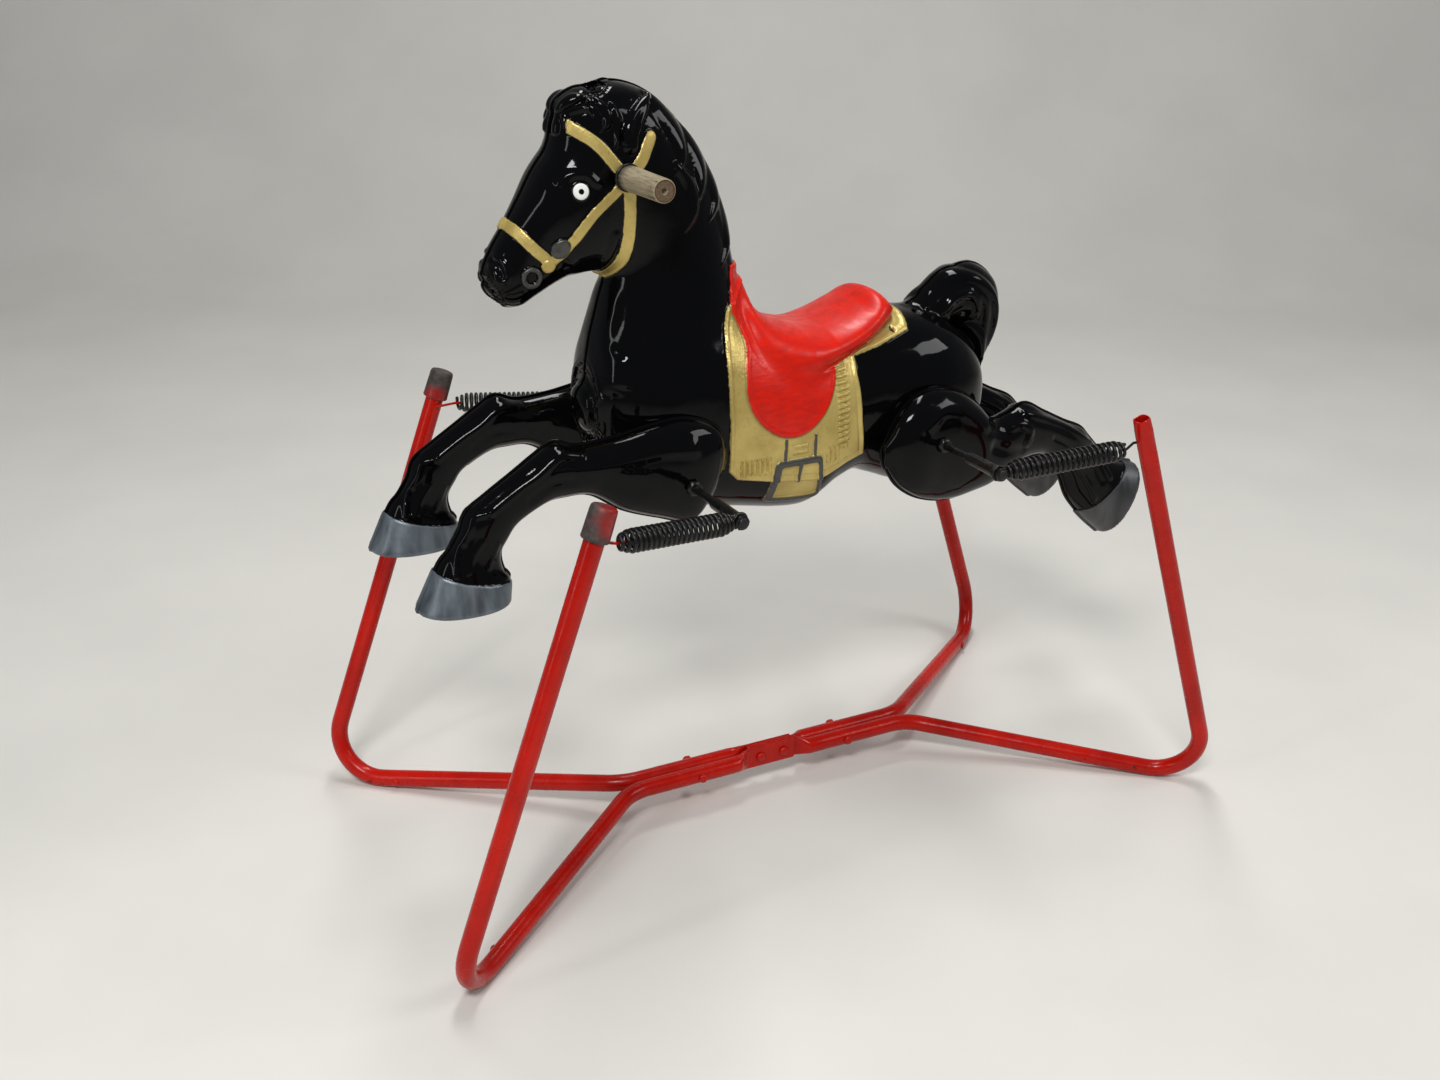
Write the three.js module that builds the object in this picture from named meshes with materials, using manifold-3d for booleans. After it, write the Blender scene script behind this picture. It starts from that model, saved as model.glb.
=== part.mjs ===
// Spring-hung rocking horse: a hollow pressed-steel horse hung by four coil springs from a stand of
// four bent steel tubes. Millimetres, +Z up, origin on the floor at the middle of the stand.
// The horse faces -X, and its left side is on -Y.
import * as THREE from 'three';
import { mergeVertices } from 'three/addons/utils/BufferGeometryUtils.js';
import Module from 'manifold-3d';

const wasm = await Module();
wasm.setup();

// ---------------------------------------------------------------- driving dimensions
const TUBE_D = 19;                     // stand tube, outside
const TUBE_WALL = 1.5;
const BEND_R = 50;                     // centreline radius of the foot bends
const SPLIT_R = 60;                    // centreline radius where the spine splits
const FOOT_X = 461, FOOT_Y = 230.5;    // corner of post and floor run
const TOP_X = 295, TOP_Y = 222, TOP_Z = 465;
const SPLIT_X = 180, SPINE_Z = 37.7;
const FOOT_WEAR = 0.4;                 // depth of the flat worn under each foot

const EYE_Z = 435;                     // hole for the spring hook, near the top of a post
const EYE_R = 2.6;
const LAP = 30;                        // half length of the bolted lap at the middle of the spine
const LAP_T = 3.2, LAP_H = 25;         // flattened tube: thickness and height
const LAP_BOLT_X = 15;
const CROSS_BOLT_X = 95;

const BAR_R = 4;                       // foot bar
const FRONT_BAR_X = -152, REAR_BAR_X = 138;
const BAR_Z = 424;
const BAR_END = 208;                   // half length of a foot bar
const RING_Y = 200;                    // where a spring's end ring sits on the bar
const LEG_FACE = 105.4;                // the collar sits against the leg here

const SPRING_R = 9.6, SPRING_WIRE = 1.8, SPRING_TURNS = 22;
const HOOK_WIRE = 1.4;

const LEG_Y = 80;                      // plane of the seam between a leg's two pressings
const REAR_TAPER = 0.064;              // the rear legs close in towards the hooves
const STEEL = 1;                       // pressed sheet
const GAP = 0.3;                       // air between touching pieces
const SADDLE_RISE = 6, BLANKET_RISE = 3;

const GRIP_X = -191, GRIP_Z = 710;
const GRIP_R = 11, GRIP_IN = 51, GRIP_OUT = 126, ROD_R = 4;

// ---------------------------------------------------------------- materials
const paint = (color, roughness, metalness = 0) =>
  new THREE.MeshStandardMaterial({ color, roughness, metalness });
const RED = paint(0xd8281c, 0.35);
const BLACK = paint(0x0b0b0d, 0.12);
const SATIN = paint(0x17171a, 0.4, 0.4);
const RUBBER = paint(0x3a3634, 0.8);
const WOOD = paint(0xa3968a, 0.85);

// ---------------------------------------------------------------- solids
function solid(geometry) {
  const bare = geometry.clone();
  bare.deleteAttribute('normal');
  bare.deleteAttribute('uv');
  const g = mergeVertices(bare, 1e-4);
  const vertProperties = new Float32Array(g.attributes.position.array);
  const triVerts = new Uint32Array(g.index.array);
  if (signedVolume(vertProperties, triVerts) < 0) {
    for (let i = 0; i < triVerts.length; i += 3) {
      [triVerts[i], triVerts[i + 1]] = [triVerts[i + 1], triVerts[i]];
    }
  }
  return new wasm.Manifold(new wasm.Mesh({ numProp: 3, vertProperties, triVerts }));
}

function signedVolume(p, t) {
  const a = new THREE.Vector3(), b = new THREE.Vector3(), c = new THREE.Vector3();
  let sum = 0;
  for (let i = 0; i < t.length; i += 3) {
    a.fromArray(p, 3 * t[i]);
    b.fromArray(p, 3 * t[i + 1]);
    c.fromArray(p, 3 * t[i + 2]);
    sum += a.dot(b.cross(c));
  }
  return sum;
}

function toGeometry(manifold) {
  const m = manifold.getMesh();
  const g = new THREE.BufferGeometry();
  g.setAttribute('position', new THREE.BufferAttribute(m.vertProperties, 3));
  g.setIndex(new THREE.BufferAttribute(m.triVerts, 1));
  g.computeVertexNormals();
  return g;
}

const largest = (manifold) =>
  manifold.decompose().reduce((best, m) => (m.volume() > best.volume() ? m : best));

function box(x0, x1, y0, y1, z0, z1) {
  const g = new THREE.BoxGeometry(x1 - x0, y1 - y0, z1 - z0);
  return solid(g.translate((x0 + x1) / 2, (y0 + y1) / 2, (z0 + z1) / 2));
}

// A round bar, tube or hexagon along Y, from y0 to y1, centred on (x, z).
function barY(r, x, z, y0, y1, sides = 16) {
  const g = new THREE.CylinderGeometry(r, r, Math.abs(y1 - y0), sides);
  return solid(g.translate(x, (y0 + y1) / 2, z));
}

const BORE_SIDES = 12;
function tubeY(rOut, rIn, x, z, y0, y1, sides = 16) {
  return barY(rOut, x, z, y0, y1, sides).subtract(barY(rIn, x, z, y0 - 9, y1 + 9, BORE_SIDES));
}

// ---------------------------------------------------------------- lofts
// A section is [top x, top z, low x, low z, half width]. Sections are rounded outlines in planes
// square to the vertical middle plane, and the loft joins them in order.
function grown(sections, by) {
  return sections.map(([tx, tz, lx, lz, w], i) => {
    const c = new THREE.Vector2((tx + lx) / 2, (tz + lz) / 2);
    const h = new THREE.Vector2((tx - lx) / 2, (tz - lz) / 2);
    const reach = Math.max(h.length() + by, 0.6) / h.length();
    const end = (i === 0 ? -1 : 0) + (i === sections.length - 1 ? 1 : 0);
    const step = new THREE.Vector2(h.y, -h.x).normalize();
    const next = sections[i === 0 ? 1 : i], last = sections[i === 0 ? 0 : i - 1];
    const along = new THREE.Vector2(
      next[0] + next[2] - last[0] - last[2], next[1] + next[3] - last[1] - last[3]);
    if (step.dot(along) < 0) step.negate();
    c.addScaledVector(step, end * by);
    h.multiplyScalar(reach);
    return [c.x + h.x, c.y + h.y, c.x - h.x, c.y - h.y, Math.max(w + by, 0.6)];
  });
}

function loft(sections, sides, square = 2) {
  const rows = sections.length - 1;
  const g = new THREE.CylinderGeometry(1, 1, 1, sides, rows);
  const p = g.attributes.position;
  const bulge = (v) => Math.sign(v) * Math.abs(v) ** (2 / square);
  for (let i = 0; i < p.count; i += 1) {
    const [tx, tz, lx, lz, w] = sections[Math.round((0.5 - p.getY(i)) * rows)];
    const across = bulge(p.getX(i)), up = bulge(p.getZ(i));
    const x = (tx + lx) / 2 + (up * (tx - lx)) / 2;
    const z = (tz + lz) / 2 + (up * (tz - lz)) / 2;
    p.setXYZ(i, x, across * w, z);
  }
  return solid(g);
}

// ---------------------------------------------------------------- routes of round stock
// Stations with straight stretches between them, and arcs of radius r at the corners.
function rounded(corners, radii, stepsPerArc = 4) {
  const pts = [corners[0].clone()];
  for (let i = 1; i < corners.length - 1; i += 1) {
    const a = corners[i - 1].clone().sub(corners[i]).normalize();
    const b = corners[i + 1].clone().sub(corners[i]).normalize();
    const half = a.angleTo(b) / 2;
    const centre = corners[i].clone()
      .addScaledVector(a.clone().add(b).normalize(), radii[i - 1] / Math.sin(half));
    const from = corners[i].clone().addScaledVector(a, radii[i - 1] / Math.tan(half)).sub(centre);
    const turn = new THREE.Vector3().crossVectors(b, a).normalize();
    const sweep = Math.PI - 2 * half;
    for (let k = 0; k <= stepsPerArc; k += 1) {
      pts.push(from.clone().applyAxisAngle(turn, (sweep * k) / stepsPerArc).add(centre));
    }
  }
  pts.push(corners[corners.length - 1].clone());
  return pts;
}

class Route extends THREE.Curve {
  constructor(points) {
    super();
    this.points = points;
  }

  getPoint(t, target = new THREE.Vector3()) {
    const s = t * (this.points.length - 1);
    const i = Math.min(Math.floor(s), this.points.length - 2);
    return target.lerpVectors(this.points[i], this.points[i + 1], s - i);
  }

  getTangent(t, target = new THREE.Vector3()) {
    const n = this.points.length - 1, i = Math.round(t * n);
    const before = this.points[Math.max(i, 1)].clone().sub(this.points[Math.max(i - 1, 0)]);
    const after = this.points[Math.min(i + 1, n)].clone().sub(this.points[Math.min(i, n - 1)]);
    return target.copy(before.normalize().add(after.normalize()).normalize());
  }

  getUtoTmapping(u) {
    return u;
  }
}

function rod(points, radius, sides = 10) {
  const ring = new THREE.Shape();
  for (let k = 0; k <= sides; k += 1) {
    const a = (2 * Math.PI * (k + 0.5)) / sides;
    ring[k ? 'lineTo' : 'moveTo'](radius * Math.cos(a), radius * Math.sin(a));
  }
  return solid(new THREE.ExtrudeGeometry(ring, {
    steps: points.length - 1, bevelEnabled: false, extrudePath: new Route(points),
  }));
}

// ---------------------------------------------------------------- stand
const V = (x, y, z) => new THREE.Vector3(x, y, z);
const TUBE_R = TUBE_D / 2;
const SPINE_Y = TUBE_R + GAP / 2;
const FLATTEN = 18;                    // length over which the round tube becomes flat

// The bend cuts its corner, so the corner lies below the tube that rests on the floor.
function postRoute(cornerZ) {
  return rounded([V(-TOP_X, -TOP_Y, TOP_Z), V(-FOOT_X, -FOOT_Y, cornerZ),
    V(-SPLIT_X, -SPINE_Y, SPINE_Z), V(-LAP - FLATTEN + 0.5, -SPINE_Y, SPINE_Z)], [BEND_R, SPLIT_R]);
}
const bendLow = Math.min(...postRoute(0).map((p) => p.z));
const CORNER_Z = TUBE_R - FOOT_WEAR - bendLow;
const ROUTE = postRoute(CORNER_Z);

const postDir = V(-TOP_X, -TOP_Y, TOP_Z).sub(V(-FOOT_X, -FOOT_Y, CORNER_Z)).normalize();
function postPoint(z) {
  return V(-TOP_X, -TOP_Y, TOP_Z).addScaledVector(postDir, (z - TOP_Z) / postDir.z);
}
const EYE = postPoint(EYE_Z);

// One quarter of the stand: the front left tube. tongue is 1 where its flat end lies outermost.
function standTube(tongue) {
  const flatY = tongue ? -(GAP / 2 + 1.5 * LAP_T + GAP) : -(GAP / 2 + LAP_T / 2);
  const bore = ROUTE.map((p) => p.clone());
  bore[0].addScaledVector(postDir, 5);
  bore[bore.length - 1].x -= 6;
  const neck = [
    [-LAP - FLATTEN, TUBE_R, SPINE_Y, TUBE_R],
    [-LAP - FLATTEN / 2, TUBE_R + 2, (SPINE_Y - flatY) / 2, TUBE_R * 0.62],
    [-LAP, LAP_H / 2, -flatY, LAP_T / 2],
  ];
  const g = new THREE.CylinderGeometry(1, 1, 1, 16, neck.length - 1);
  const p = g.attributes.position;
  for (let i = 0; i < p.count; i += 1) {
    const [x, tall, y, wide] = neck[Math.round((0.5 - p.getY(i)) * (neck.length - 1))];
    p.setXYZ(i, x, -y + p.getX(i) * wide, SPINE_Z + p.getZ(i) * tall);
  }
  let body = rod(ROUTE, TUBE_R).add(solid(g));
  body = body.add(box(-LAP - 1, LAP, flatY - LAP_T / 2, flatY + LAP_T / 2,
    SPINE_Z - LAP_H / 2, SPINE_Z + LAP_H / 2));
  body = body.subtract(rod(bore, TUBE_R - TUBE_WALL, 8));
  body = body.subtract(barY(EYE_R, EYE.x, EYE.z, EYE.y - 20, EYE.y + 20, 12));
  for (const x of [-LAP_BOLT_X, LAP_BOLT_X, -CROSS_BOLT_X]) {
    body = body.subtract(barY(3.4, x, SPINE_Z, -40, 5, 12));
  }
  body = body.subtract(rivet(true));
  return body.intersect(box(-600, 600, -400, -GAP / 2, 0, 600));
}

// A round-headed stud in the floor run, just inside the foot bend, facing the middle of the stand.
function rivet(hole) {
  const corner = V(-FOOT_X, -FOOT_Y, CORNER_Z), split = V(-SPLIT_X, -SPINE_Y, SPINE_Z);
  const along = split.clone().sub(corner).normalize();
  const inward = new THREE.Vector3().crossVectors(V(0, 0, 1), along).normalize();
  const at = corner.clone().addScaledVector(along, 92);
  const grow = hole ? 0.25 : 0;
  const profile = [[0, -5], [2 + grow, -5], [2 + grow, TUBE_R - 0.6 - grow],
    [4 + grow, TUBE_R - 0.6 - grow], [3.6 + grow, TUBE_R + 1], [2, TUBE_R + 2], [0, TUBE_R + 2.4]];
  const g = new THREE.LatheGeometry(profile.map(([r, y]) => new THREE.Vector2(r, y)), 8);
  g.applyQuaternion(new THREE.Quaternion().setFromUnitVectors(V(0, 1, 0), inward));
  return solid(g.translate(at.x, at.y, at.z));
}

// Rubber cap: a cup pushed over the post's open end.
function postCap() {
  const out = TUBE_R + 2.6, skirt = -25, crown = 3.6;
  const inside = TUBE_R + 0.5;
  const profile = [[0, GAP], [inside, GAP], [inside, skirt], [out - 0.6, skirt], [out, skirt + 2],
    [out - 0.7, crown - 2.4], [out - 3, crown], [0, crown + 0.6]];
  const g = new THREE.LatheGeometry(profile.map(([r, y]) => new THREE.Vector2(r, y)), 16);
  g.applyQuaternion(new THREE.Quaternion().setFromUnitVectors(V(0, 1, 0), postDir));
  return solid(g.translate(-TOP_X, -TOP_Y, TOP_Z));
}

// Bolt through the spine, head on the left, and its nut on the right.
function spineBolt(x, reach) {
  const head = barY(5.2, x, SPINE_Z, -reach - GAP - 3.6, -reach - GAP, BORE_SIDES);
  return head.add(barY(3, x, SPINE_Z, -reach - 1, reach + 8, BORE_SIDES));
}
const spineNut = (x, reach) => tubeY(5.8, 3.3, x, SPINE_Z, reach + GAP, reach + GAP + 5, 6);

// ---------------------------------------------------------------- springs and hooks
const RING_R = BAR_R + 1.2;            // inside radius of the spring's end ring
// Spring from the end ring on the foot bar at x, to the inner end of the hook at the post's eye.
function springEnds(barX) {
  const eye = EYE.clone();
  eye.x *= -Math.sign(barX);
  const ring = V(barX, -RING_Y, BAR_Z);
  const along = eye.clone().sub(ring);
  return { ring, eye, along: along.clone().normalize(), length: along.length() };
}

const SPRING_START = 9, SPRING_STOP = 26;
function spring(barX) {
  const { ring, along, length } = springEnds(barX);
  const up = V(0, 0, 1).addScaledVector(along, -along.z).normalize();
  const side = new THREE.Vector3().crossVectors(along, up);
  const perTurn = 5;
  const points = [];
  const from = RING_R + SPRING_WIRE;
  for (let k = 0; k <= 7; k += 1) {
    const a = (Math.PI * 1.75 * k) / 7 - Math.PI * 0.5;
    points.push(ring.clone().addScaledVector(along, from * Math.sin(a + Math.PI))
      .addScaledVector(up, from * Math.cos(a + Math.PI)));
  }
  points.reverse();
  const coils = SPRING_TURNS * perTurn, run = length - SPRING_START - SPRING_STOP;
  for (let k = 0; k <= coils; k += 1) {
    const s = k / coils, a = (2 * Math.PI * k) / perTurn;
    const waist = Math.min(1, 0.58 + 4.2 * Math.min(s, 1 - s));
    points.push(ring.clone().addScaledVector(along, SPRING_START + run * s)
      .addScaledVector(up, SPRING_R * waist * Math.cos(a))
      .addScaledVector(side, SPRING_R * waist * Math.sin(a)));
  }
  return rod(points, SPRING_WIRE, 3);
}

// Wire hook: out of the spring's end, along the post's inner side and into its cross hole.
function hook(barX) {
  const { ring, eye, along, length } = springEnds(barX);
  const inner = ring.clone().addScaledVector(along, length - SPRING_STOP - 5);
  const mouth = ring.clone().addScaledVector(along, length - SPRING_STOP + 2);
  const toPost = Math.sign(eye.x - ring.x);
  const reach = TUBE_R + HOOK_WIRE + 1;
  const offset = (x, y) => eye.clone().add(V(-toPost * x, y, 0));
  const line = [inner, mouth, offset(7, reach), offset(0, reach), offset(0, 3 - TUBE_R)];
  return rod(rounded(line, [3, 3, 2], 2), HOOK_WIRE, 6);
}

// ---------------------------------------------------------------- horse: sections
const TRUNK = [
  [-221, 503, -219, 462, 24], [-213, 532, -211, 436, 45], [-192, 554, -190, 408, 62],
  [-160, 566, -160, 386, 73], [-115, 564, -115, 370, 77], [-60, 554, -60, 359, 78],
  [-15, 539, -15, 351, 77], [15, 533, 15, 352, 76], [45, 534, 45, 370, 74], [72, 539, 72, 379, 73],
  [100, 545, 100, 371, 74], [135, 548, 135, 358, 76], [170, 543, 170, 358, 74],
  [202, 527, 200, 370, 65], [228, 500, 224, 396, 48], [245, 466, 241, 426, 22]
];
const NECK = [
  [-24, 520, -200, 440, 66], [-48, 552, -208, 470, 66], [-60, 590, -213, 508, 60],
  [-67, 631, -213, 548, 53], [-75, 666, -204, 583, 48], [-87, 698, -197, 610, 46],
  [-104, 729, -208, 634, 45], [-129, 759, -232, 682, 43], [-156, 780, -248, 722, 40],
  [-187, 789, -248, 748, 34], [-210, 782, -244, 764, 21]
];
const HEAD = [
  [-196, 778, -186, 626, 40], [-224, 762, -202, 618, 44], [-246, 739, -217, 620, 45],
  [-265, 716, -234, 617, 42], [-279, 692, -251, 610, 36], [-293, 669, -269, 600, 30],
  [-307, 648, -285, 592, 28], [-316, 630, -300, 594, 24], [-316, 616, -307, 603, 12]
];
const TAIL = [
  [152, 547, 150, 520, 16], [173, 560, 176, 520, 24], [196, 577, 192, 522, 27],
  [230, 587, 206, 524, 29], [261, 568, 216, 518, 28], [270, 534, 222, 498, 25],
  [261, 503, 226, 474, 22], [247, 472, 228, 454, 16], [240, 448, 232, 438, 8]
];
const SEAT = [
  [-67, 602, -74, 560, 12], [-58, 586, -65, 522, 30], [-49, 566, -52, 508, 48],
  [-28, 550, -26, 500, 60], [2, 542, 2, 500, 66], [28, 544, 27, 505, 66], [54, 551, 52, 512, 62],
  [78, 562, 76, 521, 57], [97, 573, 97, 532, 49], [110, 566, 111, 541, 37], [119, 556, 119, 548, 18]
];
const FRONT_LEG = [
  [-107, 452, -111, 424, 8], [-117, 474, -127, 398, 19], [-150, 486, -145, 381, 25],
  [-190, 483, -176, 390, 25], [-226, 477, -216, 405, 23], [-262, 475, -249, 426, 21],
  [-284, 482, -276, 428, 20], [-303, 472, -292, 426, 19], [-326, 457, -311, 417, 17],
  [-352, 441, -327, 408, 16], [-373, 427, -335, 397, 17], [-385, 408, -339, 382, 17],
  [-395, 392, -337, 366, 19], [-404, 379, -333, 356, 23], [-424, 339, -330, 338, 31],
];
const REAR_LEG = [
  [78, 426, 82, 400, 8], [92, 452, 96, 380, 19], [112, 471, 118, 364, 25],
  [140, 478, 145, 354, 25], [170, 471, 170, 351, 25], [195, 455, 195, 354, 25],
  [218, 433, 220, 359, 23], [240, 435, 241, 371, 22], [266, 443, 262, 379, 21],
  [293, 430, 286, 382, 20], [325, 414, 304, 375, 19], [352, 402, 320, 360, 18],
  [367, 388, 331, 343, 17], [386, 370, 343, 320, 18], [413, 352, 368, 293, 23],
  [440, 344, 398, 268, 31],
];

// Outlines of the painted harness in the side view, pressed up from the flank.
const SADDLE_LINE = [[-62, 575], [-76, 548], [-91, 515], [-85, 482], [-66, 461], [-46, 451],
  [-27, 453], [-8, 463], [5, 484], [6, 508], [-2, 530], [30, 532], [62, 537], [90, 545], [60, 575]];
const BLANKET_LINE = [[-74, 582], [-106, 520], [-107, 424], [-96, 405], [-54, 398], [12, 399],
  [49, 420], [44, 474], [41, 524], [78, 528], [110, 531], [134, 545], [60, 600]];

function flankPad(line, rise, grow) {
  const middle = new THREE.Vector2(0, 0);
  line.forEach(([x, z]) => middle.add(new THREE.Vector2(x, z).divideScalar(line.length)));
  const shape = new THREE.Shape();
  line.forEach(([x, z], i) => {
    const out = new THREE.Vector2(x, z).sub(middle);
    out.setLength(out.length() + 1.6 * grow).add(middle);
    shape[i ? 'lineTo' : 'moveTo'](out.x, -out.y);
  });
  const slab = new THREE.ExtrudeGeometry(shape, { depth: 260, bevelEnabled: false });
  return solid(slab.translate(0, 0, -130).rotateX(-Math.PI / 2)).intersect(
    loft(grown(TRUNK, rise + grow), TRUNK_SIDES));
}

const TRUNK_SIDES = 16;
function horseBody(grow) {
  let body = loft(grown(TRUNK, grow), TRUNK_SIDES).add(loft(grown(NECK, grow), 12));
  body = body.add(loft(grown(HEAD, grow), 12, 2.2)).add(loft(grown(TAIL, grow), 10));
  body = body.add(loft(grown(SEAT, grow), 12));
  body = body.add(flankPad(BLANKET_LINE, BLANKET_RISE, grow));
  return body.add(flankPad(SADDLE_LINE, SADDLE_RISE, grow));
}

const HOLE_R = BAR_R + 1;
function boreForBars(piece) {
  return piece.subtract(barY(HOLE_R, FRONT_BAR_X, BAR_Z, -200, 200))
    .subtract(barY(HOLE_R, REAR_BAR_X, BAR_Z, -200, 200));
}

// The right half of the body. The left half is its mirror image.
function bodyShell() {
  let shell = horseBody(0).subtract(horseBody(-STEEL));
  shell = boreForBars(shell).subtract(barY(ROD_R + 0.5, GRIP_X, GRIP_Z, -200, 200));
  shell = shell.subtract(barY(14.5, GRIP_X, GRIP_Z, -80, -GRIP_IN + 4 - GAP))
    .subtract(barY(14.5, GRIP_X, GRIP_Z, GRIP_IN - 4 + GAP, 80));
  return largest(shell.intersect(box(-500, 500, GAP / 2, 200, 0, 900)));
}

const LEG_SIDES = 10;
// A right leg is two pressings joined along its middle plane. The left legs are mirror images.
function legShell(sections, outer, taper, atX) {
  const skin = loft(sections, LEG_SIDES).subtract(loft(grown(sections, -STEEL), LEG_SIDES));
  const half = outer ? box(-600, 600, GAP / 2, 90, 0, 700) : box(-600, 600, -90, -GAP / 2, 0, 700);
  const g = toGeometry(skin.intersect(half));
  const p = g.attributes.position;
  for (let i = 0; i < p.count; i += 1) {
    p.setY(i, p.getY(i) + LEG_Y - taper * (p.getX(i) - atX));
  }
  return largest(boreForBars(solid(g).subtract(horseBody(GAP))));
}

// ---------------------------------------------------------------- assembly
const SLIVER = 0.15;                  // facets narrower than this are merged away
const horse = new THREE.Group();
function node(name, shape, material) {
  const mesh = new THREE.Mesh(toGeometry(shape.simplify(SLIVER)), material);
  mesh.name = name;
  horse.add(mesh);
}
const flipX = (m) => m.mirror([1, 0, 0]);
const flipY = (m) => m.mirror([0, 1, 0]);

const outerTube = standTube(1), innerTube = standTube(0), cap = postCap(), stud = rivet(false);
node('stand_tube_front_left', outerTube, RED);
node('stand_tube_front_right', flipY(outerTube), RED);
node('stand_tube_rear_left', flipX(innerTube), RED);
node('stand_tube_rear_right', flipX(flipY(innerTube)), RED);
node('post_cap_front_left', cap, RUBBER);
node('post_cap_front_right', flipY(cap), RUBBER);
node('post_cap_rear_right', flipX(flipY(cap)), RUBBER);
node('foot_stud_front_left', stud, RED);
node('foot_stud_front_right', flipY(stud), RED);
node('foot_stud_rear_left', flipX(stud), RED);
node('foot_stud_rear_right', flipX(flipY(stud)), RED);

const lapReach = 2 * LAP_T + 1.5 * GAP, crossReach = 2 * TUBE_R + GAP / 2;
for (const [name, x, reach] of [['lap_front', -LAP_BOLT_X, lapReach], ['lap_rear', LAP_BOLT_X, lapReach],
  ['cross_front', -CROSS_BOLT_X, crossReach], ['cross_rear', CROSS_BOLT_X, crossReach]]) {
  node(`bolt_${name}`, spineBolt(x, reach), RED);
  node(`nut_${name}`, spineNut(x, reach), RED);
}

for (const [end, x] of [['front', FRONT_BAR_X], ['rear', REAR_BAR_X]]) {
  node(`${end}_foot_bar`, barY(BAR_R, x, BAR_Z, -BAR_END, BAR_END, BORE_SIDES), SATIN);
  const collar = tubeY(8, BAR_R + GAP, x, BAR_Z, -LEG_FACE - 6, -LEG_FACE, 12);
  const sleeve = tubeY(6.2, BAR_R + GAP, x, BAR_Z, -RING_Y + 3.6, -RING_Y + 50, 14);
  const nut = tubeY(8, BAR_R + GAP, x, BAR_Z, -BAR_END + 0.5, -RING_Y - 3.6, 6);
  for (const [side, turn] of [['left', (m) => m], ['right', flipY]]) {
    node(`${end}_bar_collar_${side}`, turn(collar), SATIN);
    node(`${end}_bar_sleeve_${side}`, turn(sleeve), SATIN);
    node(`${end}_bar_nut_${side}`, turn(nut), SATIN);
    node(`spring_${end}_${side}`, turn(spring(x)), SATIN);
    node(`hook_${end}_${side}`, turn(hook(x)), SATIN);
  }
}

const rightBody = bodyShell();
node('body_shell_left', flipY(rightBody), BLACK);
node('body_shell_right', rightBody, BLACK);
for (const [end, sections, taper, atX] of [
  ['front', FRONT_LEG, 0, 0], ['rear', REAR_LEG, REAR_TAPER, REAR_BAR_X]]) {
  for (const [half, outer] of [['outer', true], ['inner', false]]) {
    const shell = legShell(sections, outer, taper, atX);
    node(`leg_${end}_left_${half}`, flipY(shell), BLACK);
    node(`leg_${end}_right_${half}`, shell, BLACK);
  }
}

node('grip_rod', barY(ROD_R, GRIP_X, GRIP_Z, -GRIP_OUT + 6, GRIP_OUT - 6, BORE_SIDES), SATIN);
const grip = tubeY(GRIP_R, ROD_R + GAP, GRIP_X, GRIP_Z, -GRIP_OUT, -GRIP_IN, 20);
const washer = tubeY(13, ROD_R + GAP, GRIP_X, GRIP_Z, -GRIP_IN + GAP, -GRIP_IN + 4, 16);
node('grip_left', grip, WOOD);
node('grip_right', flipY(grip), WOOD);
node('grip_washer_left', washer, SATIN);
node('grip_washer_right', flipY(washer), SATIN);

export default horse;
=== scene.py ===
"""Spring-hung rocking horse: the looks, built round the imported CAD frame. Metres, +Z up."""
import math

import bmesh
import bpy
import numpy as np
from mathutils import Matrix, Vector


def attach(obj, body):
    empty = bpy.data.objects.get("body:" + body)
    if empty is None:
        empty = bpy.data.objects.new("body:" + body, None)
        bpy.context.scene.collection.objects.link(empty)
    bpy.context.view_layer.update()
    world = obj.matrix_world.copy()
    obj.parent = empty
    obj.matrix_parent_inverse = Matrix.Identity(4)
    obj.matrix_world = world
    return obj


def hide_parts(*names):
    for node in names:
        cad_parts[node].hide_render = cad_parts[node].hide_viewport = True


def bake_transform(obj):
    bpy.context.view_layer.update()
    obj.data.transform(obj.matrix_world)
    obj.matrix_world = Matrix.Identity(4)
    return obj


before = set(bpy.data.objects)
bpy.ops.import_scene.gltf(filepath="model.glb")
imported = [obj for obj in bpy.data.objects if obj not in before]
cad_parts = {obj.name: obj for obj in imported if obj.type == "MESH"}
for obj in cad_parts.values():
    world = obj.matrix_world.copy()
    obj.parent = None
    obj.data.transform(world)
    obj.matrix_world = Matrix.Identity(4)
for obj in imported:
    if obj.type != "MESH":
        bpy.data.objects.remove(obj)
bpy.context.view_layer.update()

MM = 0.001                      # the shape tables below are in millimetres
CURVE_STEPS = 6                 # stations from one given point of a curve to the next

# ------------------------------------------------------------------ camera, floor and light
CAMERA_PLACE = (-0.7504, -1.3069, 0.9337)
CAMERA_RIGHT = (0.88846685, -0.45880099, 0.01132753)
CAMERA_UP = (0.16840285, 0.34887321, 0.92191538)
LENS = 37.5                     # on a 36 mm sensor


def add_camera():
    camera = bpy.data.objects.new("camera", bpy.data.cameras.new("camera"))
    bpy.context.scene.collection.objects.link(camera)
    right, up = Vector(CAMERA_RIGHT), Vector(CAMERA_UP)
    turn = Matrix((right, up, right.cross(up))).transposed()
    camera.matrix_world = Matrix.Translation(CAMERA_PLACE) @ turn.to_4x4()
    camera.data.lens, camera.data.sensor_width = LENS, 36
    camera.data.clip_end = 60
    bpy.context.scene.camera = camera


def area_light(name, place, aim, size, power):
    light = bpy.data.lights.new(name, "AREA")
    light.shape, light.size, light.size_y = "RECTANGLE", size[0], size[1]
    light.energy = power
    lamp = bpy.data.objects.new(name, light)
    bpy.context.scene.collection.objects.link(lamp)
    lamp.location = place
    lamp.rotation_euler = (Vector(aim) - Vector(place)).to_track_quat("-Z", "Y").to_euler()


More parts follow.
